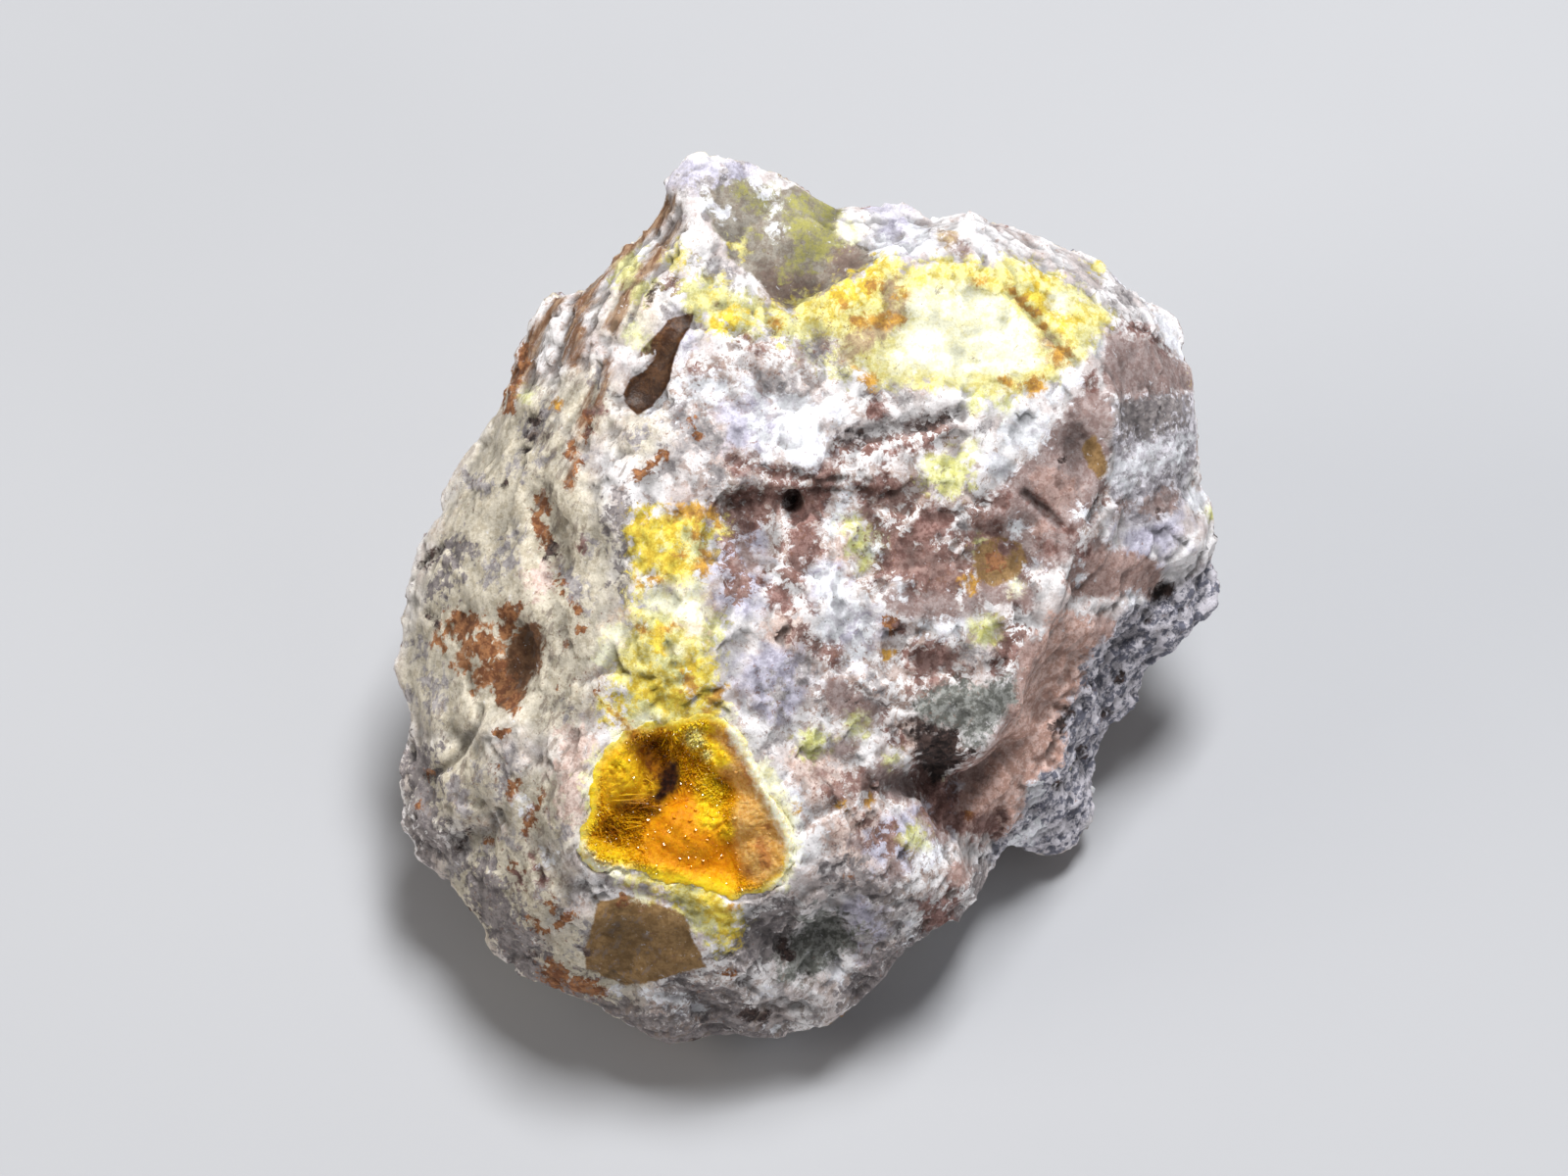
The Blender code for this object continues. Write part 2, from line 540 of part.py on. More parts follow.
def main():
    for obj in list(bpy.data.objects):
        bpy.data.objects.remove(obj)

    rock = make_rock()
    surface = surface_reader(rock)
    crust = make_crust(surface)
    cutter = cut_vug(rock, surface)

    lean = Matrix.Rotation(math.radians(FACE_LEAN), 4, "X")
    stance = Matrix.Translation(Vector(FACE_ORIGIN) * MM) @ lean
    for obj in (rock, crust, cutter):
        obj.matrix_world = stance
    cut_base(rock)


main()
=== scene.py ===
"""Looks of the uranophane specimen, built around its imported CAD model.

Shapes are worked out in millimetres in the face frame: right, up (up the show face) and out (away from
the rock). The rock rests on its back, so the show face looks up and leans FACE_LEAN degrees towards -Y.
"""

import math

import bmesh
import bpy
import numpy as np
from mathutils import Matrix, Vector, noise
from mathutils.bvhtree import BVHTree


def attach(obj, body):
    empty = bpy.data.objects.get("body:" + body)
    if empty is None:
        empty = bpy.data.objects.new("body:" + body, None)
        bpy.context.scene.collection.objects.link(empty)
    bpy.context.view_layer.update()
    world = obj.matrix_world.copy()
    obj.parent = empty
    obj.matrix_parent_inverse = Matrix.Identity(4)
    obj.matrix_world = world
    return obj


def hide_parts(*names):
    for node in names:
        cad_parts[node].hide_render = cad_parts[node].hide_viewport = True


MM = 0.001

# ---------------------------------------------------------------- the face frame and the view
FACE_LEAN = 30.0  # degrees
FACE_ORIGIN = (-0.1, 1.0, 17.5)  # mm, where the face frame's origin stands
VIEW_DISTANCE = 0.45  # of the camera from the face frame's origin, m
VIEW_LENS = 148.83
VIEW_SHIFT = (-25 / 1600, 15 / 1600)  # the specimen sits a little off the middle of the picture
TO_WORLD = Matrix.Translation(Vector(FACE_ORIGIN) * MM) @ Matrix.Rotation(math.radians(FACE_LEAN), 4, "X")
WORLD_UP = (0, math.sin(math.radians(FACE_LEAN)), math.cos(math.radians(FACE_LEAN)))  # in the face frame

# ---------------------------------------------------------------- the rock's surface, mm
WELD_DISTANCE = 1e-3
VOXEL = 0.3  # cell of the remesh
SOFTEN_ROUNDS = 14  # rounds of smoothing that round off the CAD facets
CALM_ROUNDS = 30  # further rounds for the calm normals that the relief stands on
TRIANGLES = 192000  # kept for the rock
CAD_BASE = 0.02  # below this height the surface is the flat base
BASE_FADE = 1.2  # the relief is at full strength from this height on
BED_DROP = 0.9  # the rock's surface is taken down by this under the crust
BED_FADE = (0.5, 1.3)  # and goes down between these distances inside the vug's edge
BED_COARSE = 1.0  # further inside than this, the rock's triangles may be large

SWELLS = ((2.6, 0.16), (1.1, 0.07), (0.5, 0.03))  # size and height of the rounded lumps
CHIPS = ((3.1, 0.14), (1.5, 0.13), (0.75, 0.09))  # size and tilt of the flat chips
CHIP_SEED = 3.7  # for each mm of their size
CHIP_SHUFFLE = 7.0  # spreads the cells' centres, so that neighbours lean in unlike ways
CHIP_WARP = 0.35  # the chips' outlines wander by this share of their size
CHIP_WARP_SIZE = 0.8  # over this many times their size
AXIS_SEED = 17.3  # from the noise of one axis to that of the next
BACK_HOLLOWS = ((8.5, 0.7), (3.6, 0.14))  # size and depth of the hollows of the hidden sides
BACK_CHIPS = (6.5, 0.1)  # size and tilt of their chips
BACK_CALM = 0.6  # the share of the common relief that they lose
BACK_GRAIN = 0.3  # the share of the coarse grain that they get
GRAIN_LUMPS = ((1.0, 0.3), (0.55, 0.15))  # the coarse grain of the lower right: size, height
GRAIN_FADE = (-1.5, 0.5)  # it sets in between these distances inside its area
STRIPE_DIRECTION = (-0.28, 0.96)  # across the stripes of the right flank, in the face
STRIPE_PITCH = 0.62
STRIPE_HEIGHT = 0.07
STRIPE_GAIN = 1.6
STRIPE_BENDS = ((0.8, 2.2, 3.0),)  # by how many pitches, over which distance, seed
LAYER_DIRECTION = (0.86, -0.5)  # across the layers of the upper left flank
LAYER_PITCH = 1.35
LAYER_HEIGHT = 0.24
LAYER_LEVEL = 0.3  # this share of it lies under the smooth surface
LAYER_BENDS = ((0.6, 5.0, 8.0), (0.12, 1.6, 2.0))  # by how many pitches, over which distance, seed
LAYER_PLACES = [(-10.5, 25), (-13.5, 21), (-17, 15)]
LAYER_REACH = 3.6  # the layered part reaches this far from those places
LAYER_EDGE = ((2.2, 2.6, 5.0),)  # and its edge wanders: how far, over which distance, seed
LAYER_FADE = (-1.0, 1.2)
POWDER_LUMPS = ((0.8, 0.13), (0.42, 0.06))  # the lumpy yellow powder: size, height
LIFT = 0.5  # added to noise of -1 to 1, so that most of it is above 0
MARKING_FADE = (-0.2, 0.25)  # a marking's own relief sets in between these distances inside its edge
SUNKEN = {"maroon": 0.12, "clast": 0.22, "olive": 0.1}  # these lie deeper by this
CREASE_BOTTOM = 0.8  # a crease is at full depth this share of its radius inside its edge

DEPTH_SQUEEZE = 0.6  # the patterns vary this much less with depth, so steep walls don't look combed
FIELD_REACH = 3.0  # the painted fields hold distances up to this, mm
FRONT_FADE = (-0.15, 0.2)  # the painting fades where the surface stops facing out
FACING_ROUNDS = 12  # rounds of smoothing of the normals that tell where that is
# The relief fields: how far each place stands out of its surface smoothed this many rounds, for the painted
# shade in the hollows and painted light on the ridges.
RELIEF_GAINS = {"near_relief": (6, 12), "far_relief": (40, 4)}  # rounds of smoothing, strength
BACK_SEED, BACK_SEED_STEP = 31.0, 7

# ---------------------------------------------------------------- markings, mm in the face frame
# Each stroke is a radius and the (right, up) places that it runs through. Each area is a closed outline.
STROKES = {
    "yellow": [
        (0.75, (-8.8, 23.3)),
        (0.27, (-5, 24.1), (-4.6, 24)),
        (0.61, (-6.1, 20.9)), (0.48, (-6.9, 20.2)), (0.68, (-6.3, 18.8)), (0.61, (-5.1, 19.4)),
        (0.82, (-2.2, 19.3)), (0.54, (-2, 18.4)),
        (0.95, (-0.2, 19.9), (1.4, 20.2), (3.7, 21.4), (5.4, 22.4)), (0.95, (1.4, 19.4)),
        (0.68, (3.2, 20.6)), (1.36, (5.1, 19.4)), (0.82, (3.7, 18)),
        (0.82, (7.5, 22), (9.9, 22.2), (11.9, 22.1), (13.3, 21.4)), (0.95, (6.1, 20.7)),
        (0.54, (5.4, 16.3), (7.1, 16.5), (9.2, 16.1)),
        (0.82, (14.9, 22.2)), (0.82, (15.6, 21)), (0.75, (16.5, 21.6)),
        (0.41, (18.2, 19.8), (19.6, 19.5)), (0.54, (16.1, 18.7)),
        (0.82, (17.4, 18.8)), (0.82, (17, 17.9)),
        (0.61, (10.9, 15.6), (13.3, 15.6), (15, 15.6), (16, 16.1)), (0.54, (8.5, 14.9)),
        (0.75, (11.5, 15.2)), (0.61, (13.9, 14.8)), (0.41, (11.1, 17.5), (12.6, 17.9)),
        (0.34, (9.2, 19.4)),
        (1.16, (-9.5, 5), (-10.4, 3.7), (-9.5, 2.4), (-8.5, 1.8)), (0.82, (-11.2, 4.8)),
        (0.95, (-10.9, 2.7)), (0.82, (-7.6, 5.5)), (0.54, (-6.1, 5.1)),
        (0.68, (-11.2, 1)), (0.68, (-11.8, -0.7)), (1.36, (-11.6, -3.1), (-10.7, -5.1), (-9.2, -6.1)),
        (0.95, (-8.5, -2.4), (-7.1, -3.7), (-7, -5.8)),
        (1.09, (-9.2, -7.5), (-7.1, -7.5)), (0.95, (-12.6, -5.1)), (0.82, (-13.1, -7.1)),
        (0.68, (-6.1, -8.8)),
        (0.95, (-8.5, -19.7), (-6.5, -20.4), (-5.4, -21.4)), (0.68, (-5.6, -22.8)),
        (0.41, (-9.2, -18.7), (-11.9, -18.4)), (0.82, (-6.5, -19.4)),
        (0.41, (27.3, 15.8)), (0.54, (20.1, 23.3)), (0.34, (-10.2, -19.7)),
    ],
    "cream": [
        (0.75, (2.8, 25.4)), (1.16, (7.8, 19.7), (10.5, 20.1), (12.9, 19.4)),
        (1.22, (7.1, 18), (10.5, 18.4), (13.9, 18)),
        (0.95, (6.5, 16.7), (10.2, 16.5), (14.6, 16.8)), (0.75, (17.1, 20.3)),
        (0.88, (-10, 0.2), (-7.7, -0.3)), (0.54, (-7.5, 1)),
        (0.54, (-2.8, -11.4), (-1.5, -13.9), (-1.2, -16.5), (-1.9, -18.5)),
        (0.41, (-14.5, -16), (-12.6, -17.9)), (0.34, (-14.1, -10.9), (-14.6, -12.6)),
        (0.48, (-10.4, -7.8), (-12.6, -9)), (0.54, (-12.6, -1.7), (-13.9, -3.7)),
        (0.34, (-11.2, -19.7)), (0.34, (-5.4, -10.5), (-4.4, -11.9)),
        (0.41, (-8.5, -3.1)), (0.41, (-5.4, -7.5)), (0.41, (13.9, 1)),
    ],
    "orange": [
        (0.41, (2.3, 20)), (0.48, (4.4, 21.5)), (0.41, (3.2, 19), (6.1, 19)), (0.34, (6.3, 20.8)),
        (0.27, (13.5, 21.4), (14.2, 20.5), (15.2, 19.5), (16, 18.6)),
        (0.68, (16.9, 16.8)), (0.34, (11.5, 21.7)), (0.68, (15.2, 14.6)), (0.41, (13.3, 14.8)),
        (0.34, (3.6, 15.4), (4.1, 14.9)), (0.34, (-2.2, 18.8)),
        (0.34, (-9.2, 6.1), (-7.5, 6.2), (-6.4, 5.9)), (0.48, (-7.6, 4.4)),
        (0.41, (-6.8, 3.3), (-7, 2)), (0.41, (-10.3, 1.6)), (0.34, (-11.2, 1.3)),
        (0.27, (-6.1, 5.4)), (0.27, (-8.5, 3.3)), (0.34, (-9.2, -1.7)), (0.34, (-10.9, -1.7)),
        (0.34, (-8.2, -5.1), (-7.7, -6.1)), (0.27, (-6.9, -7.3), (-5.9, -5.8)),
        (0.27, (-13.1, -7), (-12, -8.6)), (0.54, (-9.2, -8.8)), (0.34, (-5.1, -20.4)),
        (0.2, (-0.9, -13.8)), (0.27, (2.3, -13.7)), (0.2, (4.1, -13.4)),
        (0.34, (5.2, -3.4)), (0.61, (10.9, 1.3)), (0.27, (-17.1, 13.5)),
    ],
    "white": [
        (0.3, (-2.1, 25.5)), (0.54, (2.2, 18)), (0.61, (19.3, 17.5)), (1.56, (14.6, 11.7)),
        (0.95, (12.7, 9.2)), (0.54, (16.3, 13.9), (17.7, 15)),
        (0.27, (-8.5, 18.4), (-8.7, 16), (-10.4, 12.9)), (0.68, (-6.1, 14.3), (-8.5, 14.6)),
        (1.5, (-0.7, 11.9), (-0.2, 10.4)), (0.68, (-1.7, 13.3), (1.4, 12.9)),
        (0.54, (-3.4, 11.9), (-2.7, 9.9)), (0.88, (1, 1.7), (1.7, 0.3)),
        (0.68, (3.1, -0.3), (1.4, -1.7)), (0.61, (4.4, 3.7)),
        (0.48, (2.4, 7.1), (1.7, 5.1)), (0.54, (3.7, -1.7), (3.1, -4.4)),
        (0.41, (7.6, -1.6), (9.9, -1.8)), (0.54, (-4.4, -11.2), (-1.7, -11.9)),
        (0.48, (-1, -12.6), (-0.7, -16.7)), (0.95, (8.3, -17.2)), (0.48, (14, 5)), (0.34, (15.2, 2.4)),
        (0.34, (18.5, 1.9)), (0.34, (20.7, 8.5), (21.6, 7.6)),
        (0.41, (21.4, 9.3), (23.5, 9.3), (25.6, 10.1)), (0.34, (22.8, 10.4), (26.2, 11.3)),
        (0.34, (22.1, 0.4), (22.7, 0.1)), (0.88, (27.1, 7.3)),
        (0.54, (24, 19.7), (25.2, 18.3), (26, 17.3)), (0.68, (7.1, 25.5), (8.5, 24), (5.1, 24)),
        (0.27, (10.7, 25.5), (12.6, 22.9)),
        (0.34, (-3.7, 28.9), (-2.4, 27.2)), (0.41, (-5.8, 26.5), (-7.1, 27.2)), (0.61, (15.6, -13.1)),
        (0.54, (16, -15.6), (14.6, -16.8)), (0.27, (7.1, -21.8)), (0.27, (6.9, -22.9)),
        (0.27, (-11.1, -26.9), (-9.2, -27.1), (-7.6, -27.8)), (0.2, (-13.3, -26.5)),
        (0.34, (-3, -26.7)), (0.54, (-11.9, -3.1)), (0.34, (-19.4, -13.6)), (0.34, (-17.7, -17.3)),
        (0.54, (-3.1, 13.3), (-4.4, 14.6)), (0.48, (6.1, 1)), (0.2, (19, 6.1), (18, 5.9)),
        (0.54, (2.1, -25.2)), (0.27, (-2.4, -29.3)),
    ],
    "pink": [
        (0.61, (3.5, 17.6), (4.4, 18)), (1.22, (16.7, 7.5)), (0.95, (17.2, 7.8), (16, 8.2)),
        (0.68, (15.6, 5.1)), (0.54, (0.9, -11.5)),
        (1.5, (15.6, -3.7), (14.8, -7.1), (13.4, -10.5), (11.9, -12.6), (11.2, -14.6)),
        (1.77, (13.3, -11.2), (11.9, -14.3)), (0.95, (10.9, -11.9)),
        (1.09, (18.7, -2)), (0.95, (17.7, -2.4), (20.1, -1.7)), (0.88, (10.3, -18.6)),
        (0.48, (-8.5, -1.7)),
    ],
    "mauve": [
        (0.82, (18.7, 7.8)), (0.68, (19.4, 3.7)), (0.82, (11.9, 1), (14.6, 0.3)),
        (1.09, (6.1, 0.3), (9.2, -0.5)), (0.68, (10.9, 0)), (0.41, (7.1, 11.9)),
        (0.54, (1.2, 17.8)), (0.68, (10.3, 23.9)), (0.54, (-3.7, 9.9)), (0.48, (0.7, 13.6)),
        (0.54, (-2.4, 13.5)), (0.54, (-4.4, 3.7), (-3.7, 2.4)),
        (0.95, (1.7, -5.8), (3.7, -7.8)), (0.95, (5.1, -11.2), (6.5, -12.6)),
        (0.68, (7.8, -14.6), (9.2, -16)), (0.68, (5.8, -18)), (0.68, (2.4, -9.9)),
        (0.54, (3.1, -16)), (0.27, (-3.1, -16)), (0.82, (23.5, 6.5), (24.8, 7)), (0.61, (21.4, 6.8)),
        (0.48, (18.7, 15)),
    ],
    "maroon": [
        (0.41, (-2.7, 9), (-1.7, 8.5), (-0.2, 8.5), (0.9, 9), (1.6, 10)), (0.54, (-4.6, 9.3)),
        (0.48, (-4.9, 6.7), (-3.4, 7.1)),
        (0.68, (-4.1, 6.1), (-4.3, 5.1)), (0.41, (-3.1, 1.4)), (0.95, (-1.9, 0.3)), (0.54, (-0.9, 1)),
        (0.34, (-5.4, 1.6)), (0.68, (0.1, 3.1), (-0.7, 2.7)),
        (0.95, (4.1, 7.6), (4.8, 7.8)), (0.54, (4, 6.1)), (0.41, (4.8, 13.5), (4.4, 12.9)),
        (0.41, (0.5, 13.2)), (1.16, (7.6, 4.6), (8.5, 5.4)),
        (0.54, (5.1, 2.9)), (0.54, (6.1, 3.6)), (0.61, (6.8, 0.9)), (0.54, (7.8, 1.4)),
        (0.41, (4.8, 1.7)), (0.61, (12.6, 5)), (0.54, (13.1, 6.7)),
        (0.27, (14.6, 7.3), (16.1, 6.1), (16.9, 5.3)), (0.54, (18.9, 6)), (0.61, (16, 3.7)),
        (0.41, (17.7, 4.8)), (0.48, (19, 14.8)),
        (0.2, (16.5, 13.1)), (0.34, (21.7, 18.7), (23.4, 18.8), (24.1, 18), (24.9, 17.5)),
        (0.34, (20.1, 18.8)), (0.27, (12.6, 26.3), (13.4, 26.3)),
        (0.2, (0.8, 11.6)), (0.27, (-4, 13.3)), (0.34, (-4.4, 17.8)), (0.27, (-3.5, 16.9)),
        (1.16, (8.8, -21.7)), (0.82, (8.4, -21.1)), (0.48, (9.7, -20.1)),
        (0.48, (5.8, -9.3)), (0.61, (9.2, -13.3), (9.7, -14.6)), (0.54, (8.5, -12.6)),
        (0.95, (11.9, -15.5), (12.7, -15.2)), (0.27, (5.9, -15.2)),
        (0.48, (12.9, -1.7), (13.3, -3.1), (12.6, -4.4)), (0.34, (13.9, -0.3)),
        (0.2, (3, 10.4), (7, 10.5), (8.7, 10.4)), (0.27, (-18.6, -17.1), (-18, -18.7)),
        (0.27, (-14.8, 11.6)), (0.27, (-14.2, 12.9)), (0.41, (-6.1, 20)), (0.54, (13.3, 3.7)),
        (0.34, (18.7, 3.4)), (0.34, (-19.7, -18.8)), (0.2, (-15.3, 3.7)),
        (0.34, (4.8, 9.5)), (0.27, (3.1, 9.3)), (0.34, (6.3, -1.7)), (0.34, (1.6, -2.5)),
        (0.34, (1.9, -4.1)), (0.2, (4.1, -2.7)), (0.27, (0.5, -0.3)),
    ],
    "lump": [
        (0.54, (11.2, 13.4)), (0.41, (13.2, 13.2)), (0.82, (9.5, 8.7)), (0.34, (8.1, 9.2)),
        (0.27, (10.9, 10.5)), (0.41, (3.7, 2.7)), (0.54, (2.7, 5.2)), (0.61, (3.2, 3.8)),
        (0.75, (12, -1.8)), (0.8, (0.3, -9.3)), (0.8, (7.2, -16)), (0.34, (5.6, -10.5)),
        (0.54, (-11.6, 17.9)), (0.34, (-19.2, 14.2)), (0.41, (28.2, 6.3)), (0.6, (3.2, -8.3)),
    ],
    "gilt": [
        (0.95, (-10.9, 5.2), (-10.5, 3)), (0.8, (-9.2, 4.8), (-9, 2.4)), (0.6, (-7.4, 5)),
        (0.95, (-10.8, -5.6), (-8.6, -6.7)), (0.8, (-7, -6.4), (-6.2, -7.4)), (0.7, (-12.6, -6.9)),
        (0.5, (-9.9, -1.5), (-10.2, -3.2)), (0.5, (-8.1, -3.2), (-7.5, -4.8)),
        (0.6, (-6.6, -19.9), (-5.7, -21.3)), (0.5, (-5.3, -22.6)), (0.6, (2.1, 20.4), (4.3, 21.9)),
        (0.6, (-5.6, 19), (-4.9, 19.2)), (0.8, (15.2, 21.1), (17.2, 19.2)), (0.4, (8.5, 17.4), (13, 17.6)),
    ],
    "blush": [(0.95, (-9.2, 0.2), (-7.6, -0.6)), (0.6, (-7.4, -1.5)), (0.6, (-12.6, -1), (-13, -2.2))],
    "smudge": [
        (0.8, (6.6, 20.1), (5, 18.5), (3.2, 17.4)), (0.6, (5.6, 21.4), (5.9, 19.8)), (0.5, (9.3, 24.6)),
        (0.7, (17, 16.6), (16, 17.6)), (0.45, (2.6, 16.7)),
    ],
    "bedding": [
        (0.62, (-9.9, 27.2), (-10.4, 26), (-11.9, 24.8), (-13.6, 23.5), (-14.7, 22), (-15.5, 20.1),
         (-15.9, 18), (-16.1, 16.3)),
        (0.42, (-8.9, 25.6), (-9.8, 24.2), (-10.6, 23), (-11.9, 21.7), (-12.6, 20.1), (-13.3, 18.6)),
        (0.5, (-17.2, 20.8), (-18.2, 19.2), (-19.3, 17.2), (-20, 15.2)),
        (0.25, (-14.6, 14.6), (-14.9, 13.3), (-15.3, 11.2), (-15.7, 9.9), (-16.1, 7.8)),
        (0.2, (-13.4, 16.2), (-14.1, 13.6), (-14.4, 11.8)),
    ],
    "rust": [
        (0.41, (-19.5, 17.3), (-20.1, 15.6), (-20.6, 13.3)), (0.41, (-15.8, 10.5), (-16.1, 10)),
        (0.27, (-14.8, 12.6), (-14.8, 11.6), (-15.4, 10.9)), (0.17, (-15.4, 9.3), (-16.1, 8)),
        (0.48, (-18, 6.9), (-18.3, 5.6), (-17.9, 4.4)), (0.41, (-17.4, 3.7)),
        (0.2, (-16.5, 0.5), (-16.9, 1.7)), (0.27, (-15.6, -0.3)), (0.68, (-23.2, -1.3), (-23.5, -2)),
        (0.82, (-22.4, -3.1), (-22.1, -2.7)), (0.41, (-24.1, -0.9)),
        (0.68, (-20.1, -0.7), (-20.2, -1.7)), (0.61, (-21.1, -4.4), (-20.7, -5.8), (-20.1, -6.8)),
        (0.48, (-22.1, -5.1)),
        (0.2, (-18.8, -13.9), (-19, -15.3), (-17.8, -12.8)), (0.27, (-19.9, -12.3), (-20.1, -13.1)),
        (0.2, (-21.2, -11.3)), (0.24, (-15.9, -21), (-17, -21.9)),
        (0.24, (-18.8, -21.5), (-17.9, -22.4)), (0.27, (-21.8, -16.2)),
        (0.17, (-17.6, -19.7), (-17.3, -21)), (1.02, (-17.4, -25.5)),
        (0.61, (-16, -26.2), (-14.3, -26.7)),
        (0.54, (5.5, -1.4)), (0.2, (-7.3, 11.3)), (0.2, (-9.5, 9.9), (-11.4, 8.5)), (0.2, (-7.8, 12.2)),
        (0.2, (-8.5, 17.6)), (0.68, (12.6, 2.9)),
        (0.54, (10.9, -14.6)), (0.54, (12.2, -15.5)), (0.27, (-10.9, 14.6)), (0.2, (-14.1, -5.8)),
        (0.2, (-16.7, -5.8)), (0.27, (-20.7, -8.8)), (0.27, (-26.2, -11.9)), (0.27, (-26.9, -13.9)),
        (0.2, (-15.3, -1.7)), (0.2, (-16.3, -2.7)), (0.41, (-12.6, -20.1)), (0.27, (-11.2, -20.2)),
        (0.2, (-19, -18)), (0.2, (-20.1, -18)), (0.27, (2.7, -18.4)), (0.34, (-5.4, -25.2)),
    ],
    "grey": [
        (0.41, (-5.4, 28.6), (-8.2, 28.4)), (0.27, (-4.4, 29.9)), (0.48, (8.2, 25.3)),
        (0.54, (-6.1, 22.6), (-5.2, 21.4)), (0.48, (-9.2, 19.4)), (0.34, (-7.8, 23.1)),
        (0.82, (0.7, 17.2)), (0.54, (2.4, 16.3)), (0.48, (6.5, 13.8), (4.4, 14.3)),
        (0.82, (-2.4, 14.6), (-0.7, 13.9)), (0.95, (-8.5, 12.6), (-6.5, 10.5)),
        (0.68, (-6.1, 8.5)), (0.41, (2.7, 11.2), (4.8, 11.8), (7, 11.9)), (0.27, (9.5, 12.4)),
        (0.27, (11.9, 11.9)), (0.48, (10.4, 5.4)), (0.54, (-3.8, 8.1)),
        (0.82, (-9.2, 9.5)), (0.54, (-11.2, 10.9)), (0.34, (-2.5, -5.2), (-1.7, -7.1)),
        (0.68, (-0.3, -4.4)), (0.48, (1.2, -6.3), (1.7, -5.1)), (0.54, (2.9, -6.7), (4.1, -6.8)),
        (0.68, (4.4, -5.5)), (0.54, (-2.5, -9.8)), (0.41, (-23.6, 8.5), (-22, 7.9)),
        (0.82, (-18.6, 11.9)), (0.61, (-19.9, 9.2)), (0.54, (-17.7, 12.9)), (0.68, (-18, 9.9)),
        (0.34, (-20.7, 3.7), (-21.6, 1.7)), (0.27, (-19.8, 4.8), (-20.1, 2.7)),
        (0.61, (-16.3, 1.7), (-15.3, 0.3)), (0.41, (-14.5, 3.7)), (0.48, (-26.9, -3.1)),
        (0.61, (-26.2, -5.1), (-25.5, -7.1)),
        (0.48, (-27.6, -6.5)), (0.34, (-24.8, -5.1)), (0.48, (-16, -7.1)),
        (0.41, (-20.1, -9.9), (-20.7, -12.6)), (0.61, (-24.1, -12.6), (-23.5, -14.6)),
        (0.75, (-23.7, -16.5), (-24.4, -18.1)),
        (0.48, (-22.1, -16.7)), (0.54, (-22.1, -11.9)), (0.54, (-26.2, -13.9)), (0.48, (-20.1, -16)),
        (0.41, (-16.7, -15.3)), (0.48, (-15.3, -19.4), (-16.7, -21.1)), (0.41, (-18, -19.4)),
        (0.41, (-14.6, -22.1), (-15.3, -23.5)), (0.54, (-13.3, -18.7)), (0.54, (-3.3, -20)),
        (0.41, (-4.4, -22.1)), (0.61, (-4.1, -24.1)), (0.2, (-8.5, -21.4)),
        (0.61, (2.7, -23.5), (3.7, -22.8)), (0.34, (5.1, -22.2), (6.4, -21.1), (8.6, -20)),
        (0.48, (0.3, -28.5)), (0.54, (-5.4, -26.5), (-4.4, -27.6)), (0.41, (1.7, -26.2)),
        (0.82, (-10.3, -28.9), (-8.5, -28.6)), (0.61, (-12.6, -28.9)), (0.54, (-1.7, -26.2)),
        (0.34, (3.7, -19.4)), (0.48, (1, -18), (2.4, -18.7)), (0.54, (-0.7, -23.5)),
        (0.61, (17.8, 21.4)), (0.48, (19.2, 20.8)), (0.48, (21.2, 21.6), (22.1, 20.7)),
        (0.48, (20.8, 20.2)), (0.41, (18.6, 22.1)), (0.34, (20.5, 22.9)), (0.34, (-11.9, 18.7)),
        (0.48, (9.2, -11.9)), (0.41, (10.9, -3.1), (12.2, -3.4)), (0.34, (16, -3.1)),
        (0.34, (-13.9, 15.6), (-14.2, 14.6)), (0.27, (-15, 9.9)), (0.2, (-9.9, -14.6)),
    ],
    # Black specks and the black dendrite, and painted shade along the creases, in the deep pit and in the
    # grooves.
    "dark": [
        (0.48, (-18.6, 12.4)), (0.27, (-18.8, 11.2)), (0.27, (-17.8, 11.2)), (0.2, (-19, 10.3)),
        (0.17, (-20.5, 8.1)), (0.17, (-19.4, 9.5)), (0.14, (-25.4, 3.8), (-27, 2.4)),
        (0.24, (-26.1, -0.9), (-25.7, -1.3)),
        (0.27, (-23.2, -15.7)), (0.27, (-23.8, -16.7)),
        (0.27, (-22.9, -21.5)), (0.34, (-18.8, -24.3)), (0.27, (-15, -23.7)), (0.27, (-14, -28.4)),
        (0.61, (-3.3, -28.5), (-4.1, -28.2)), (0.37, (-1.1, 6.9)), (0.17, (17.1, 9.7)),
        (0.17, (7, 11.8), (8.4, 12.2), (10.1, 12.7)), (0.14, (2.7, 11.1), (3.7, 11.3)), (0.2, (28, 6)),
        (0.27, (24, 5.9)), (0.14, (-10.3, 21.3), (-10.8, 20.4)), (0.17, (-14.4, 11.9)),
        (0.27, (-17.5, 3.2), (-17.2, 3.7)), (0.41, (24.8, 1), (24.1, 0.5)), (0.34, (23.5, -1)),
        (0.34, (-1.7, -23.1), (-1.4, -24.1)), (0.27, (2.6, -21.8)), (0.27, (-0.3, -25.5)),
        (0.2, (6.9, -21.4)), (0.2, (7.5, -22.4)), (0.2, (2.9, -6.7)), (0.27, (7.1, -8), (8.5, -8.6)),
        (0.2, (11.9, 6.5)), (0.14, (10.2, 12.7)), (0.14, (-11.6, -27.2), (-10.4, -27.3)),
        (0.34, (-7.8, -30.3)), (0.41, (17, -8.5), (18, -7.8)), (0.27, (19.4, -5.8)),
        (0.34, (21.8, -5.1)), (0.34, (20.7, -7.8)), (0.34, (19, -10.5)), (0.27, (17.3, -12.6)),
        (0.27, (-10.5, -8.5), (-9.9, -9.3)),
    ],
    "lilac": [
        (2.04, (-3.7, 11.9)), (1.22, (-4.4, 3.7), (-4.4, 0.3)), (2.31, (-2.4, -5.1)),
        (1.36, (3.1, -1.7)), (1.36, (-8.5, 28.9), (-5.1, 28.9)),
        (1.22, (1, 1.7)), (0.68, (-11.6, -0.3)), (1.36, (5.4, -16.7), (9.2, -13.9)),
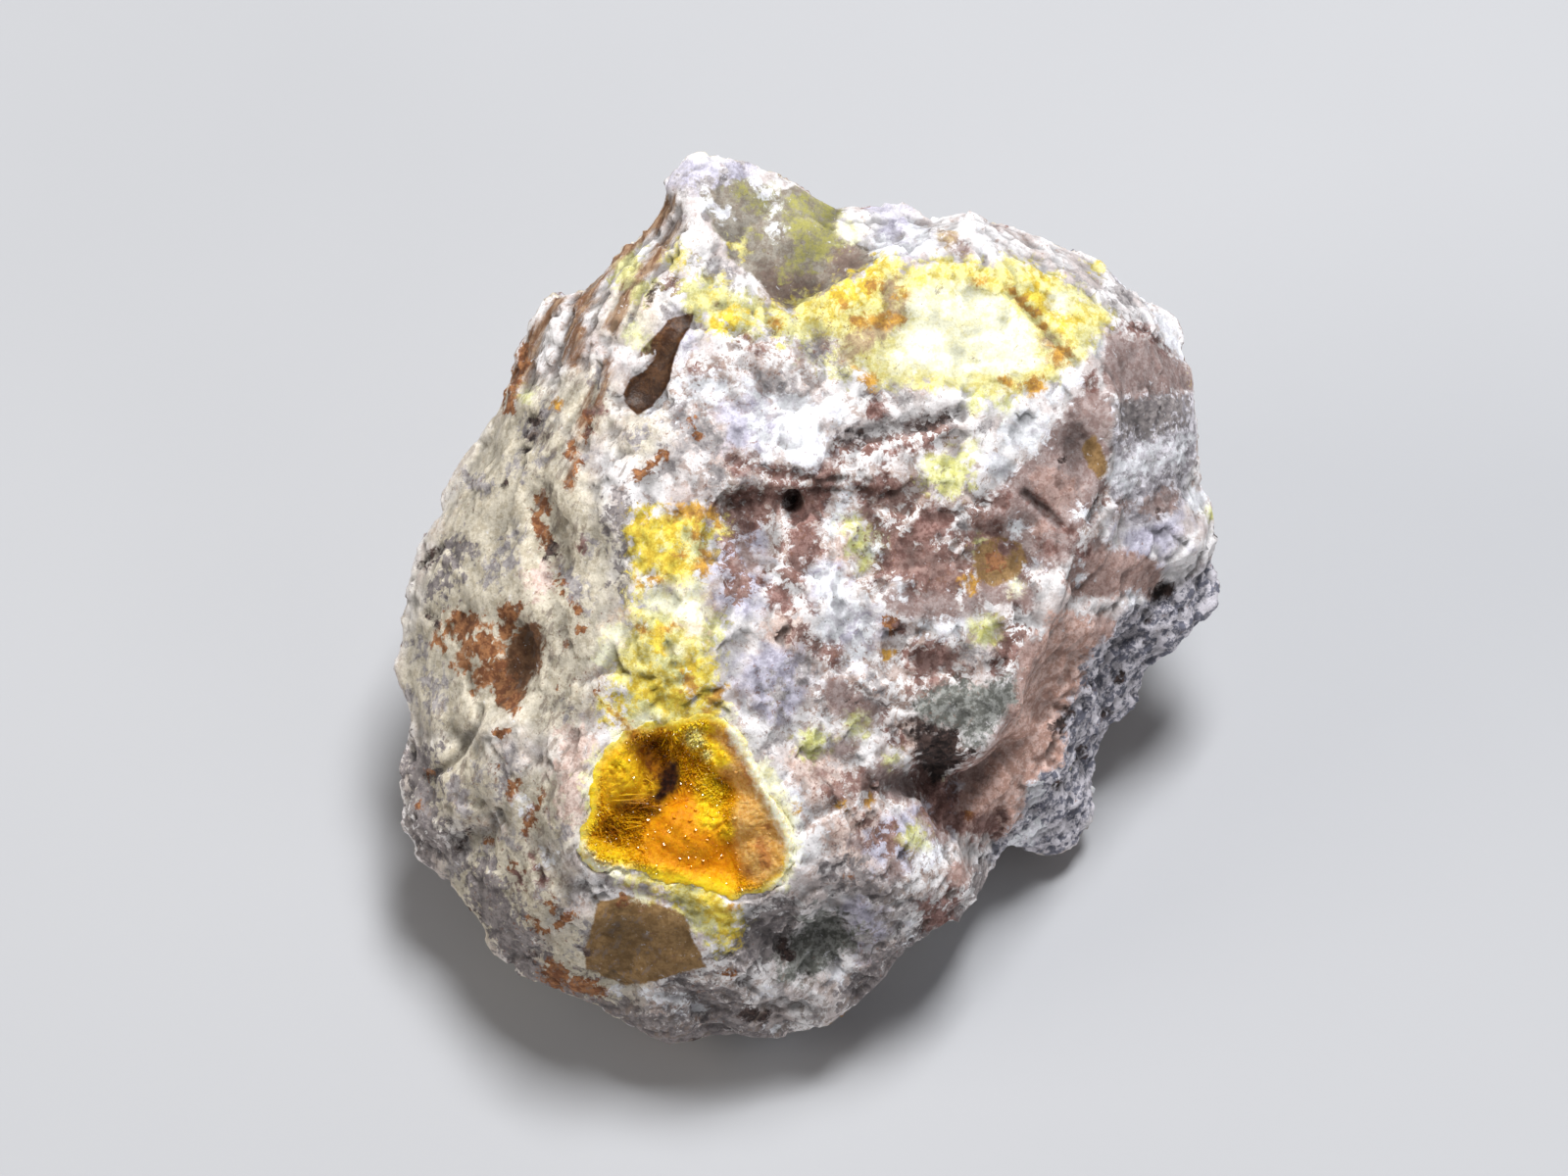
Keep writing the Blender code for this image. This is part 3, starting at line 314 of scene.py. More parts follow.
        (1.63, (3.7, -22.1)), (1.63, (22.1, 3.7), (24.8, 5.8)),
        (1.22, (6.1, 24.8), (5.4, 26.9)), (1.09, (-8.5, 18)),
    ],
    "russet": [
        (0.68, (-5, 9.2), (-2.4, 8.7), (1.4, 8.5)), (0.95, (5.4, 7.5), (6.3, 6.5)),
        (1.09, (-5.4, 5.8), (-2.4, 7)),
        (0.82, (0.1, 7.5), (-0.2, 3.7), (-1.7, 1)), (0.82, (-5.6, 4.8), (-4.6, 1)),
        (1.9, (5.1, 3.7), (9.2, 1.7)),
        (1.9, (11.9, 4.8), (13.9, 3.1)), (1.36, (16.7, 7.5)), (1.22, (8.2, -3.7)),
        (0.82, (13.6, -2.4), (14.3, -4.4)), (0.68, (12.6, 1)),
        (0.48, (1.9, 10.4), (9, 11.9)), (0.41, (7.5, -5.8), (10.5, -5.1)),
        (0.48, (-0.7, -2.4), (1.7, -3.6)), (0.34, (-9.2, 21.4), (-5.8, 19.4)),
        (0.41, (-1.7, 18.4), (2.4, 17.3)), (0.68, (1.7, -12.6), (5.1, -11.9)),
        (0.68, (3.7, -15.3), (7.1, -16.7)), (0.68, (10.9, -10.5), (9.2, -8.8)),
        (0.82, (19, 9.9), (19.5, 7.8)), (0.48, (3.1, -5.8), (4.4, -7.1)),
        (0.34, (-8.5, 16), (-6.5, 14.6)),
    ],
    "freckled": [
        (2.31, (-9.2, 13.3), (1.7, 18)), (4.08, (-4.4, 6.5), (11.2, 3.7)),
        (2.99, (-1.7, -5.8), (9.2, -4.4)), (3.13, (1.7, -12.6), (6.5, -16.7)),
        (2.99, (-20.7, -13.9), (-18, -23.5)), (2.04, (-18, 1), (-15.3, -5.8)),
        (0.82, (-24.1, 3.7), (-23.5, 7.8)), (2.04, (18.7, 6.5)),
        (1.36, (12.6, -13.9)), (2.99, (-8.5, -26.2)), (2.04, (5.1, -24.8)),
    ],
    "streaked": [
        (1.77, (-15.3, 20.1), (-18, 13.3), (-16.3, 3.7)),
        (2.04, (-18, -1.7), (-16, -9.9), (-18, -19.4)), (1.77, (-23.5, -7.1), (-24.1, -13.9)),
        (2.72, (-12.6, -23.5)), (2.72, (-15.3, -26.9), (-8.5, -29.6)),
        (1.09, (-13.9, 14.6), (-12.6, 9.9)), (2.72, (-4.4, -26.2), (1, -28.9)),
        (2.04, (5.1, -20.7), (9.2, -18)),
    ],
    # A darker grey, mostly painted shade: along the lower rim, where the light falls off, and over the
    # shadowed wedge and ridges of the right flank.
    "grey_and_shade": [
        (2.31, (-18, -26.9), (-11.2, -30.3), (-3.1, -31)), (1.63, (3.7, -26.9), (9.2, -22.1)),
        (1.63, (-22.1, -19.4), (-19.4, -24.8)), (1.36, (-26.9, -11.2), (-26.2, -16.7)),
        (1.63, (-1.7, -21.4), (-4.4, -23.5)), (0.95, (11.9, -19.4)), (1.36, (-9.2, -24.8)),
        (0.68, (-24.1, 3.7), (-25.2, 1)), (0.54, (-12.6, 6.5), (-11.9, -1.7)),
        (1.63, (-8.5, -26.9), (-4.4, -28.9)), (0.95, (2.4, -18), (5.1, -19.4)),
        (0.82, (20.7, 13.3), (22.8, 11.9)), (1.5, (21.7, 12.9), (24.6, 13.1)),
        (0.54, (22.1, 9.2), (25.5, 9.9)),
    ],
    "lime": [
        (1.5, (9.5, 8.7)), (0.68, (2.9, 5.1), (4.4, 3.7)), (0.68, (11.9, -2)),
        (2.31, (-9.2, -1.7), (-9.9, -5.1), (-10.5, -7.8)),
        (2.04, (-8.5, 3.7)), (1.09, (-12.6, 23.5), (-11.6, 21.4)), (1.5, (-7.1, 20.7), (-4.4, 19.4)),
        (1.36, (-8.2, -19.7), (-6.5, -21.1)),
        (0.82, (-1.7, 18.7), (2.4, 16)), (0.41, (11.2, -2.7)), (0.68, (0.3, -9.5)),
        (0.68, (9.2, -12.2)), (0.54, (11.9, 3.7)), (1.36, (-7.1, -1.7)),
        (1.77, (-12.6, -15.6), (-13.1, -11.9)), (0.68, (25.5, 13.3)),
    ],
    # The yellow coating on the top cap, painted a darker olive-yellow as painted shade.
    "olive_yellow_in_shade": [
        (0.68, (-4.4, 28)), (0.88, (-2.9, 27.5)), (0.95, (-0.4, 27.1)), (1.02, (1.1, 26.9)),
        (1.22, (-0.6, 25.8)), (1.22, (1, 25.3)),
        (1.09, (0.4, 24.1)), (0.54, (-0.6, 23.3)), (0.41, (-1.6, 22.4)), (0.68, (2, 24.8)),
        (0.34, (-3.7, 24.8)),
    ],
    "shade": [
        (1.5, (-1.7, 21.4), (0.3, 20.4)), (1.22, (2.4, 23.5), (3.1, 22.1)), (0.95, (-2.4, 22.1)),
    ],
    # The cream stone of the left flank, with its warm tint partly painted warm light from the left.
    "cream_and_warm_light": [
        (3.4, (-24.1, -11.9)), (4.35, (-20.7, -19.4)), (3.81, (-15.3, -25.2)), (3.4, (-17.7, -5.8)),
        (2.31, (-15.3, 13.3)), (1.63, (-11.9, 19.4)),
        (1.63, (-11.2, 11.2)), (2.99, (-16, 3.7)), (1.36, (-12.6, 1)), (2.99, (-18, -13.9)),
    ],
    "rustpit": [
        (0.82, (-24.1, -1.7)), (0.68, (-23, -2.7)), (0.61, (-22.1, -1.7)), (0.68, (-23.5, -4.1)),
        (0.82, (-22.1, -5.1)), (0.68, (-20.7, -5.8)), (0.54, (-20.1, -1)),
        (0.41, (-25.2, -2.7)), (0.68, (-21.1, -3.1)),
    ],
    "tongue": [
        (1.77, (17.7, -2.4), (16, -7.1), (14.3, -11.2), (12.6, -14.6)), (1.77, (16, -9.9)),
        (1.22, (17.7, -5.1)),
    ],
    "rosy": [
        (1.9, (0.3, -11.2)), (2.18, (3.7, -16)), (1.9, (8.5, -14.6)), (0.82, (-8.5, -3.1)),
        (0.95, (-7.5, 0.2)), (1.09, (-15.4, -9.2), (-15.9, -13.9)),
        (0.95, (-6.5, -0.3)), (1.22, (2.4, 3.7)), (0.95, (11.2, 1)), (0.82, (12.6, -3.1)),
        (0.68, (-12.6, -5.1)), (1.36, (-1.7, -1.7)), (1.09, (-5.4, 9.9)),
        (0.95, (-18, 1.7)), (1.09, (7.1, -9.2)), (0.82, (-11.2, 20.7)),
        (0.82, (-8.5, -20.7), (-11.9, -18.7)), (0.95, (3.1, -5.1)),
    ],
}
AREAS = {
    "olive": [
        [
            (-4, 29.1), (-2.9, 28.6), (-2.2, 28), (-1.4, 28.4), (0.1, 28.8), (1.4, 28.4), (2.2, 27.3),
            (2, 26.2), (1.8, 25), (3.9, 24.3), (4.8, 23.3), (3.5, 22.4), (2.1, 21.4), (0.7, 20.6),
            (-0.2, 20.3), (-0.8, 19.7), (-1.5, 19.8), (-2.4, 20.3), (-3.3, 21.7), (-4.4, 22.6),
            (-5.4, 23.3), (-5.6, 24.4), (-6.4, 25.3), (-6.9, 26.3), (-7.5, 27.9), (-5.1, 28.5),
        ],
    ],
    "clast": [
        [
            (-7.7, 19.5), (-8.5, 19.4), (-9.5, 19), (-10.3, 18), (-11.1, 17.2), (-11.8, 16.3),
            (-10.7, 16.8), (-10.2, 17.1), (-10.4, 16.4), (-11.1, 15.6), (-12.1, 15), (-12.5, 13.8),
            (-12, 13), (-11.5, 12.6), (-10.7, 13.1), (-9.6, 14.3), (-9.2, 15.3), (-9, 16.5),
            (-8.6, 17.5), (-8, 18.5),
        ],
    ],
    "tan": [
        [
            (-14.2, -20.1), (-12.2, -19.6), (-8.4, -20.8), (-7.9, -22.3), (-6.9, -24.7), (-8.5, -25.1),
            (-10.3, -25.7), (-12.4, -26.2), (-15.2, -25), (-15.2, -23.5), (-14.5, -21.5),
        ],
        [(18.7, 11), (19.2, 11.4), (19.9, 10.1), (20.3, 9), (19.7, 8.2), (19, 9), (18.4, 10.3)],
        [(11.2, 3.7), (12.7, 4.6), (14.3, 4), (14.8, 2.7), (13.9, 1.6), (12.4, 1), (11.2, 1.8)],
    ],
    "mauve": [
        [
            (20, 18.2), (23.4, 18.3), (26.1, 16.9), (27.3, 16.1), (27.5, 14.7), (24.6, 14.4),
            (22.9, 14.2), (21, 13.7), (20, 14.1), (19.9, 15.8),
        ],
        [
            (16.9, 12.4), (15.5, 11.4), (15.2, 9.9), (13.3, 8.7), (12.8, 7.8), (11.8, 6.7), (11.9, 4.8),
            (13.9, 3.7), (16, 2.4), (17.3, 2.7), (18.7, 5.1), (19.9, 7.8), (20.3, 10.5), (20.5, 12.6),
            (19.9, 14.3), (18.7, 14.5), (17.7, 13.6),
        ],
    ],
    "pink": [
        [
            (17.5, 2.6), (19, 3.6), (21, 3.7), (23.1, 3.3), (24.4, 2.3), (24.4, 1.3), (23.7, 0.2),
            (22.1, 0.6), (20.7, 0.2), (19.6, 0.4), (17.8, 0.3), (17.3, 1.4),
        ],
    ],
    "maroon": [
        [
            (-1.3, 7.6), (2.4, 7.8), (1.7, 7), (1, 6.2), (0.7, 4.7), (0.6, 3.1), (-0.4, 2.5),
            (-1.5, 2.7), (-1.3, 3.8), (-0.9, 5.5), (-1.6, 6),
        ],
        [(6.6, -3.8), (7.6, -2.9), (9.2, -2.6), (9.9, -3.3), (9.7, -4.4), (8.4, -5.2), (7.2, -4.5)],
        [
            (7.3, -10), (9.2, -11.9), (10.3, -11), (10.2, -13.9), (10.9, -15.3), (8.8, -16),
            (7.8, -13.9), (7.1, -11.9),
        ],
    ],
    "green": [
        [
            (7.3, -6.8), (8, -6), (9.9, -5.1), (11.8, -5.5), (13.7, -4.7), (14, -6.3), (13.5, -7.8),
            (11.9, -8.8), (11.6, -9.8), (10.2, -9.8), (10.1, -8.6), (8.5, -8.6), (7.3, -8),
        ],
        [
            (-0.5, -21.2), (1, -20.7), (2.7, -21.5), (3.5, -22.4), (2.7, -23.7), (1.5, -24.9),
            (-0.3, -26.1), (-1.8, -25.4), (-2, -23.7), (-1, -22.4),
        ],
    ],
    # Painted shadow in the recess under the overhanging grey-green block.
    "dark": [
        [
            (6.7, -8), (8.5, -8.6), (10.2, -8.6), (10.2, -10.1), (11.6, -10), (10.3, -11), (9.2, -12.1),
            (8.5, -12.4), (7.9, -11.5), (7.3, -10.1),
        ],
    ],
    "grainy": [
        [
            (20.7, -1), (24.8, 1), (28.9, 3.7), (29.7, 1), (28.2, -1.7), (24.1, -7.1), (21.4, -11.9),
            (19.4, -17.3), (16, -18.7), (11.9, -18), (14.3, -14.6), (16, -10.5), (17, -5.8),
            (18.7, -3.1),
        ],
    ],
    "striped": [
        [
            (20, 13.7), (24.8, 14.5), (27.6, 14.8), (27.3, 9.9), (26.2, 8.5), (25.5, 5.8), (22.1, 5.1),
            (20.6, 6.8), (20.7, 11.2),
        ],
    ],
    # The left flank: cream stone, its warm tint partly painted warm light.
    "cream_and_warm_light": [
        [
            (-26.9, 1), (-24.1, 9.9), (-20.7, 14.6), (-17.3, 14.6), (-15.3, 9.2), (-12.6, 3.7),
            (-12.6, -1.7), (-15.3, -7.1), (-19.4, -8.5), (-25.5, -9.9), (-28.9, -5.8),
        ],
    ],
    "umber": [
        [
            (-19, -1.3), (-18, -1.6), (-17.8, -2.5), (-18, -4.3), (-19, -5.4), (-19.4, -6.9),
            (-20.1, -7.6), (-21.2, -7.1), (-21.4, -5.4), (-20.5, -3.1), (-19.7, -1.9),
        ],
    ],
    "facet": [
        [
            (-1.7, 18.9), (1, 20.7), (4.8, 22.6), (6.5, 22.3), (7.5, 22.8), (9, 23.2), (11, 23.1),
            (12.4, 22.8), (13.3, 23.6), (16.1, 22.4), (18.9, 21), (20.7, 19.7), (19.6, 17.9),
            (18.2, 16.2), (16.9, 15.2), (14.8, 14.3), (11.4, 13.8), (8.6, 14.7), (4.8, 14.7),
            (2.8, 16.1), (1.7, 18), (-0.7, 18),
        ],
    ],
    "glow": [
        [
            (6.9, 20.8), (8.5, 21.6), (12, 20.9), (13.6, 19.6), (15.4, 17.2), (15.6, 15.9), (14.4, 15.2),
            (10.3, 14.9), (6.2, 15.4), (5, 16.4), (6.3, 18.2), (7.1, 19.4),
        ],
    ],
}

# Grooves and ridges: radius, depth (a ridge's is negative) and places.
CREASES = [
    (0.3, 0.4, (-10.6, 25.2), (-13, 22.9), (-14, 21), (-14.9, 18.4), (-15.5, 16.3)),
    (0.25, 0.3, (-8.9, 23.7), (-10.4, 22.5), (-11.5, 21), (-12.1, 19.3)),
    (0.3, 0.35, (-14, 23.5), (-15.7, 21.4), (-16.6, 18.8), (-17.4, 15.9)),
    (0.25, 0.3, (-17.8, 19.3), (-18.7, 17.1), (-19.3, 14.6)),
    (0.25, 0.25, (-13.2, 18.8), (-14, 15.9), (-14.7, 13.3), (-15.1, 10.3)),
    (0.27, 0.4, (-22.4, -7.1), (-22.6, -8.2), (-23.9, -10.2), (-25.4, -11.5)),
    (0.2, 0.35, (-25.4, 3.8), (-27, 2.4)),
    (0.48, 0.4, (2.7, 11.2), (7, 11.8), (10.1, 12.7)),
    (0.48, 0.9, (-1.1, 6.9)),
    (0.27, 0.3, (14.6, 7.3), (16.1, 6.1), (16.9, 5.3)),
    (0.34, 0.35, (13.5, 21.4), (14.2, 20.5), (15.2, 19.5), (16, 18.6), (18.2, 16.2)),
    (0.41, 0.5, (24.8, 1), (23.5, -1)),
    (0.3, -0.35, (17.3, 2.9), (16.3, 0.2), (15.6, -2.9), (14.7, -4.5), (14.1, -6.1), (13.9, -7.4)),
    (0.27, -0.25, (20.1, 15.1), (20.5, 13.5), (20.6, 11.3)),
    (0.27, -0.3, (10.5, 25.7), (12.9, 22.7), (13.5, 21.8)),
    (0.2, -0.2, (-2.4, 7.9), (2.4, 7.9)),
]

# The vug's edge and the kinds of druse in it.
VUG_EDGE = [
    (-8.5, -8.0), (-7.0, -7.6), (-5.4, -8.1), (-4.3, -9.6), (-3.4, -11.9), (-2.0, -13.9),
    (-1.2, -16.0), (-1.7, -18.2), (-3.2, -19.4), (-4.8, -19.9), (-6.2, -19.3), (-8.2, -18.7),
    (-10.1, -18.3), (-11.6, -17.9), (-12.7, -17.6), (-14.1, -17.9), (-15.2, -16.8), (-15.0, -15.4),
    (-14.5, -14.1), (-14.3, -12.2), (-14.1, -10.7), (-13.0, -9.6), (-11.6, -8.6), (-10.1, -8.1),
]
CRUST_STROKES = {
    "gold": [(1.9, (-11.9, -11.4)), (0.95, (-12.7, -12.7)), (0.82, (-9.2, -18), (-5.8, -18.8))],
    "lemon": [
        (0.82, (-6.5, -12.2), (-6.6, -14.5)), (0.48, (-5.6, -15.4)), (0.75, (-7.4, -9.3), (-6, -10.4)),
        (0.61, (-12.6, -17.2), (-14.5, -16.5)), (0.34, (-14.4, -10.9), (-14.6, -15)),
        (0.41, (-11, -18), (-8.4, -18.6), (-5.4, -19.5)), (0.54, (-12.6, -10.8)),
        (0.54, (-8.5, -8.5), (-6.8, -8.4)),
    ],
    "orange": [(2.72, (-8.2, -16)), (1.09, (-8.5, -13.6)), (1.22, (-6.1, -17.2))],
    # Deep brown, painted shade in the cleft and around the hole.
    "brown_shade": [
        (1.09, (-10.7, -10), (-9.9, -11)), (0.61, (-12.2, -13.8), (-10.4, -13.6)),
        (0.68, (-13.2, -15.3)), (0.41, (-5.7, -11.8)), (0.54, (-11.6, -8.8)),
    ],
    # Near black, painted shade in the deep hole.
    "hole": [(0.7, (-9.3, -11.6), (-9.4, -12.2)), (0.45, (-9.6, -12.5), (-10, -13)), (0.4, (-9.1, -11.0))],
    "cream": [(0.68, (-7.6, -9.1)), (0.34, (-6.8, -10.2))],
    "pale": [
        (0.41, (-5, -8.6), (-3.7, -10.7), (-2.6, -13.1), (-1.5, -15.2), (-1, -16.8),
         (-1.2, -18.4), (-2.2, -19.3)),
        (0.27, (-15.2, -16.4), (-14.1, -17.8), (-12.4, -18)),
    ],
    "russet": [
        (0.27, (-4.4, -10.7), (-3.9, -11.9)), (0.41, (-3.2, -16), (-2.9, -17.5)), (0.27, (-2.7, -15)),
        (0.27, (-5.4, -8.8), (-5, -9.9)), (0.2, (-4, -18)),
    ],
}
CRUST_SHELF = [
    (-6.5, -7.9), (-5, -9), (-4, -10.5), (-3.3, -11.9), (-2.4, -13.6), (-1.8, -14.8), (-1.4, -16.3),
    (-1.8, -18), (-3.4, -18.9), (-4.4, -18.3), (-5.1, -16.5), (-5, -14.5), (-4.6, -13), (-5.2, -12),
    (-5.9, -11.7), (-6.6, -9.4),
]


# ---------------------------------------------------------------- fields
def stroke_field(places, radius, points):
    """How far inside the stroke each place is, in mm, negative outside it."""
    points = np.array(points, float)
    nearest = np.full(len(places), np.inf)
    for start, end in zip(points, points[1:] if len(points) > 1 else points):
        along = end - start
        share = np.clip((places - start) @ along / max(along @ along, 1e-9), 0, 1)
        away = places - start - share[:, None] * along
        nearest = np.minimum(nearest, np.hypot(away[:, 0], away[:, 1]))
    return radius - nearest


def area_field(places, points):
    """How far inside the closed outline each place is, in mm, negative outside it."""
    points = np.array(points, float)
    inside = np.zeros(len(places), bool)
    for a, b in zip(points, np.roll(points, -1, axis=0)):
        crosses = (a[1] > places[:, 1]) != (b[1] > places[:, 1])
        slope = (b[0] - a[0]) / (b[1] - a[1]) if b[1] != a[1] else 0.0
        inside ^= crosses & (places[:, 0] < a[0] + slope * (places[:, 1] - a[1]))
    edge = -stroke_field(places, 0.0, [*points, points[0]])
    return np.where(inside, edge, -edge)


def painted(name, places):
    """The field of one kind of marking: how far inside its nearest patch each place is."""
    field = np.full(len(places), -FIELD_REACH)
    for radius, *points in STROKES.get(name, []):
        field = np.maximum(field, stroke_field(places, radius, points))
    for points in AREAS.get(name, []):
        field = np.maximum(field, area_field(places, points))
    return field


def ramp(values, low, high):
    """0 below low, 1 above high, smooth between."""
    share = np.clip((values - low) / (high - low), 0, 1)
    return share * share * (3 - 2 * share)


def swell(points, size, seed=0.0):
    """Smooth noise of about -1 to 1, one value for each point."""
    return np.array([noise.noise(p) for p in (points / size + seed).tolist()])


def wandering(start, points, table):
    """The start with smooth noise added to it, by a table of heights, sizes and seeds."""
    return sum((stand * swell(points, size, seed) for stand, size, seed in table), start)


def chips(points, size, seed=0.0):
    """Flat chips of a broken surface: each cell's plane leans its own way, in mm for a tilt of 1."""
    warp = np.stack([swell(points, size * CHIP_WARP_SIZE, seed + k * AXIS_SEED) for k in range(3)], 1)
    scaled = points / size + warp * CHIP_WARP + seed
    heights = np.empty(len(points))
    for i, p in enumerate(scaled.tolist()):
        centre = noise.voronoi(p)[1][0]
        lean = noise.cell_vector(centre * CHIP_SHUFFLE)
        x, y, z = p[0] - centre.x, p[1] - centre.y, p[2] - centre.z
        heights[i] = (2 * lean.x - 1) * x + (2 * lean.y - 1) * y + (2 * lean.z - 1) * z
    return heights * size


# ---------------------------------------------------------------- mesh arrays
def mesh_array(items, key, kind, width):
    """One property of all the mesh's items, a row for each."""
    flat = np.empty(len(items) * width, kind)
    items.foreach_get(key, flat)
    return flat.reshape(-1, width)


def mesh_points(mesh):
    return mesh_array(mesh.vertices, "co", np.float32, 3).astype(float)


def mesh_normals(mesh):
    return mesh_array(mesh.vertex_normals, "vector", np.float32, 3).astype(float)


def mesh_edges(mesh):
    return mesh_array(mesh.edges, "vertices", np.int32, 2)


def set_points(mesh, points):
    mesh.vertices.foreach_set("co", points.astype(np.float32).ravel())
    mesh.update()


def smoothed(values, edges, rounds, share=0.5):
    """Values at the vertices, averaged with their neighbours' again and again."""
    count = np.bincount(edges.ravel(), minlength=len(values))[:, None]
    for _ in range(rounds):
        total = np.stack(
            [
                np.bincount(edges[:, 0], column[edges[:, 1]], len(values))
                + np.bincount(edges[:, 1], column[edges[:, 0]], len(values))
                for column in values.T
            ],
            1,
        )
        values = values + share * (total / count - values)
    return values


def new_object(name, mesh):
    obj = bpy.data.objects.new(name, mesh)
    bpy.context.scene.collection.objects.link(obj)
    return obj


def object_from(bm, name):
    """A new object from a bmesh, which it frees."""
    mesh = bpy.data.meshes.new(name)
    bm.to_mesh(mesh)
    bm.free()
    return new_object(name, mesh)


def object_of(name, corners, faces):
    """A new object from arrays of corners and faces."""
    mesh = bpy.data.meshes.new(name)
    mesh.from_pydata(corners.tolist(), [], faces.tolist())
    mesh.update()
    return new_object(name, mesh)


def apply_modifiers(obj):
    """Bakes the object's modifiers into its mesh."""
    graph = bpy.context.evaluated_depsgraph_get()
    mesh = bpy.data.meshes.new_from_object(obj.evaluated_get(graph))
    obj.modifiers.clear()
    obj.data = mesh


def face_copy(node, name):
    """A welded copy of a CAD node, in mm in the face frame."""
    bm = bmesh.new()
    bm.from_mesh(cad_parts[node].data)
    bm.transform(Matrix.Scale(1 / MM, 4) @ TO_WORLD.inverted())
    bmesh.ops.remove_doubles(bm, verts=bm.verts, dist=WELD_DISTANCE)
    return object_from(bm, name)


def store_fields(mesh, fields):
    """Packs named fields, four to a colour attribute. Returns where each one is."""
    names = list(fields)
    where = {}
    for first in range(0, len(names), 4):
        attribute = mesh.attributes.new(f"fields_{first // 4}", "FLOAT_COLOR", "POINT")
        packed = np.zeros((len(mesh.vertices), 4), np.float32)
        for channel, name in enumerate(names[first : first + 4]):
            packed[:, channel] = np.clip(fields[name] / (2 * FIELD_REACH) + 0.5, 0, 1)
            where[name] = (attribute.name, channel)
        attribute.data.foreach_set("color", packed.ravel())
    return where


def world_height(points):
    """Height above the floor of points in the face frame, in mm."""
    return FACE_ORIGIN[2] + points[:, 1] * WORLD_UP[1] + points[:, 2] * WORLD_UP[2]


# ---------------------------------------------------------------- the rock's skin
RELIEF_MASKS = ("clast", "olive", "maroon", "striped", "yellow", "tan", "mauve", "pink", "green",
                "cream_and_warm_light", "facet")
CALM_SHARE = {  # how much of the common relief these kinds of surface lose
    "clast": 0.8, "tan": 0.75, "olive": 0.7, "mauve": 0.6, "pink": 0.6, "green": 0.4, "cream_and_warm_light": 0.55,
    "facet": 0.65, "striped": 0.5,
}


def layers_of_rock(points):
    """Where each place is between two creases of the upper left flank's layers, and how layered it is."""
    reach = wandering(stroke_field(points[:, :2], LAYER_REACH, LAYER_PLACES), points, LAYER_EDGE)
    across = points[:, :2] @ np.array(LAYER_DIRECTION) / LAYER_PITCH
    across += wandering(0, points, LAYER_BENDS)
    return across % 1, ramp(reach, *LAYER_FADE)


def rock_relief(points, normals):
    """How far the broken surface stands out of the smooth one, in mm."""
    places = points[:, :2]
    front = ramp(normals[:, 2], *FRONT_FADE)
    masks = {name: front * ramp(painted(name, places), *MARKING_FADE) for name in RELIEF_MASKS}
    grainy = ramp(painted("grainy", places), *GRAIN_FADE)
    flat = np.maximum.reduce([masks[name] * share for name, share in CALM_SHARE.items()])
    flat = np.maximum(flat, BACK_CALM * (1 - front))
    height = np.zeros(len(points))
    for size, stand in SWELLS:
        height += stand * swell(points, size, size)
    for size, tilt in CHIPS:
        height += tilt * chips(points, size, size * CHIP_SEED)
    height *= 1 - flat
    for size, depth in BACK_HOLLOWS:
        height -= (1 - front) * depth * (LIFT + swell(points, size, seed=3.0 + size))
    height += (1 - front) * BACK_CHIPS[1] * chips(points, BACK_CHIPS[0], seed=4.0)
    rough = np.maximum(grainy, BACK_GRAIN * (1 - front))
    for size, stand in GRAIN_LUMPS:
        height += rough * stand * np.abs(swell(points, size, seed=5.0 + size))
    for size, stand in POWDER_LUMPS:
        height += masks["yellow"] * stand * (LIFT + swell(points, size, seed=9.0))
    across = wandering(places @ np.array(STRIPE_DIRECTION) / STRIPE_PITCH, points, STRIPE_BENDS)
    height += masks["striped"] * STRIPE_HEIGHT * (1 - 2 * np.abs(across % 1 - 0.5)) * STRIPE_GAIN
    phase, layered = layers_of_rock(points)
    height += front * layered * LAYER_HEIGHT * (phase**2 - LAYER_LEVEL)
    height -= sum(depth * masks[name] for name, depth in SUNKEN.items())
    for radius, depth, *along in CREASES:
        inside = stroke_field(places, radius, along)
        height -= front * depth * ramp(inside, -radius, radius * CREASE_BOTTOM)
    return height


def make_rock():
    """The CAD rock in even cells, softened, with the relief on it, and brought back to TRIANGLES."""
    rock = face_copy("matrix_rock", "rock_skin")
    remesh = rock.modifiers.new("Even cells", "REMESH")
    remesh.mode = "VOXEL"
    remesh.voxel_size = VOXEL
    apply_modifiers(rock)

    mesh = rock.data
    edges = mesh_edges(mesh)
    points = mesh_points(mesh)
    base = world_height(points) < CAD_BASE
    points = np.where(base[:, None], points, smoothed(points, edges, SOFTEN_ROUNDS))
    set_points(mesh, points)
    normals = smoothed(mesh_normals(mesh), edges, CALM_ROUNDS)
    normals /= np.linalg.norm(normals, axis=1)[:, None]
    fade = ramp(world_height(points), CAD_BASE, BASE_FADE)
    points += normals * (rock_relief(points, normals) * fade)[:, None]
    bed = ramp(area_field(points[:, :2], VUG_EDGE), *BED_FADE) * ramp(normals[:, 2], *FRONT_FADE)
    points[:, 2] -= BED_DROP * bed
    sunk = np.minimum(world_height(points), 0)
    points -= sunk[:, None] * np.array(WORLD_UP)
    set_points(mesh, points)

    coarse = rock.vertex_groups.new(name="coarse")
    hidden = (normals[:, 2] < FRONT_FADE[0]) | (area_field(points[:, :2], VUG_EDGE) > BED_COARSE)
    coarse.add(np.flatnonzero(hidden).tolist(), 1.0, "REPLACE")
    decimate = rock.modifiers.new("Fewer triangles", "DECIMATE")
    decimate.ratio = TRIANGLES / (2 * len(mesh.polygons))
    decimate.use_collapse_triangulate = True
    decimate.vertex_group = "coarse"
    apply_modifiers(rock)
    rock.vertex_groups.clear()
    rock.data.shade_smooth()
    return rock


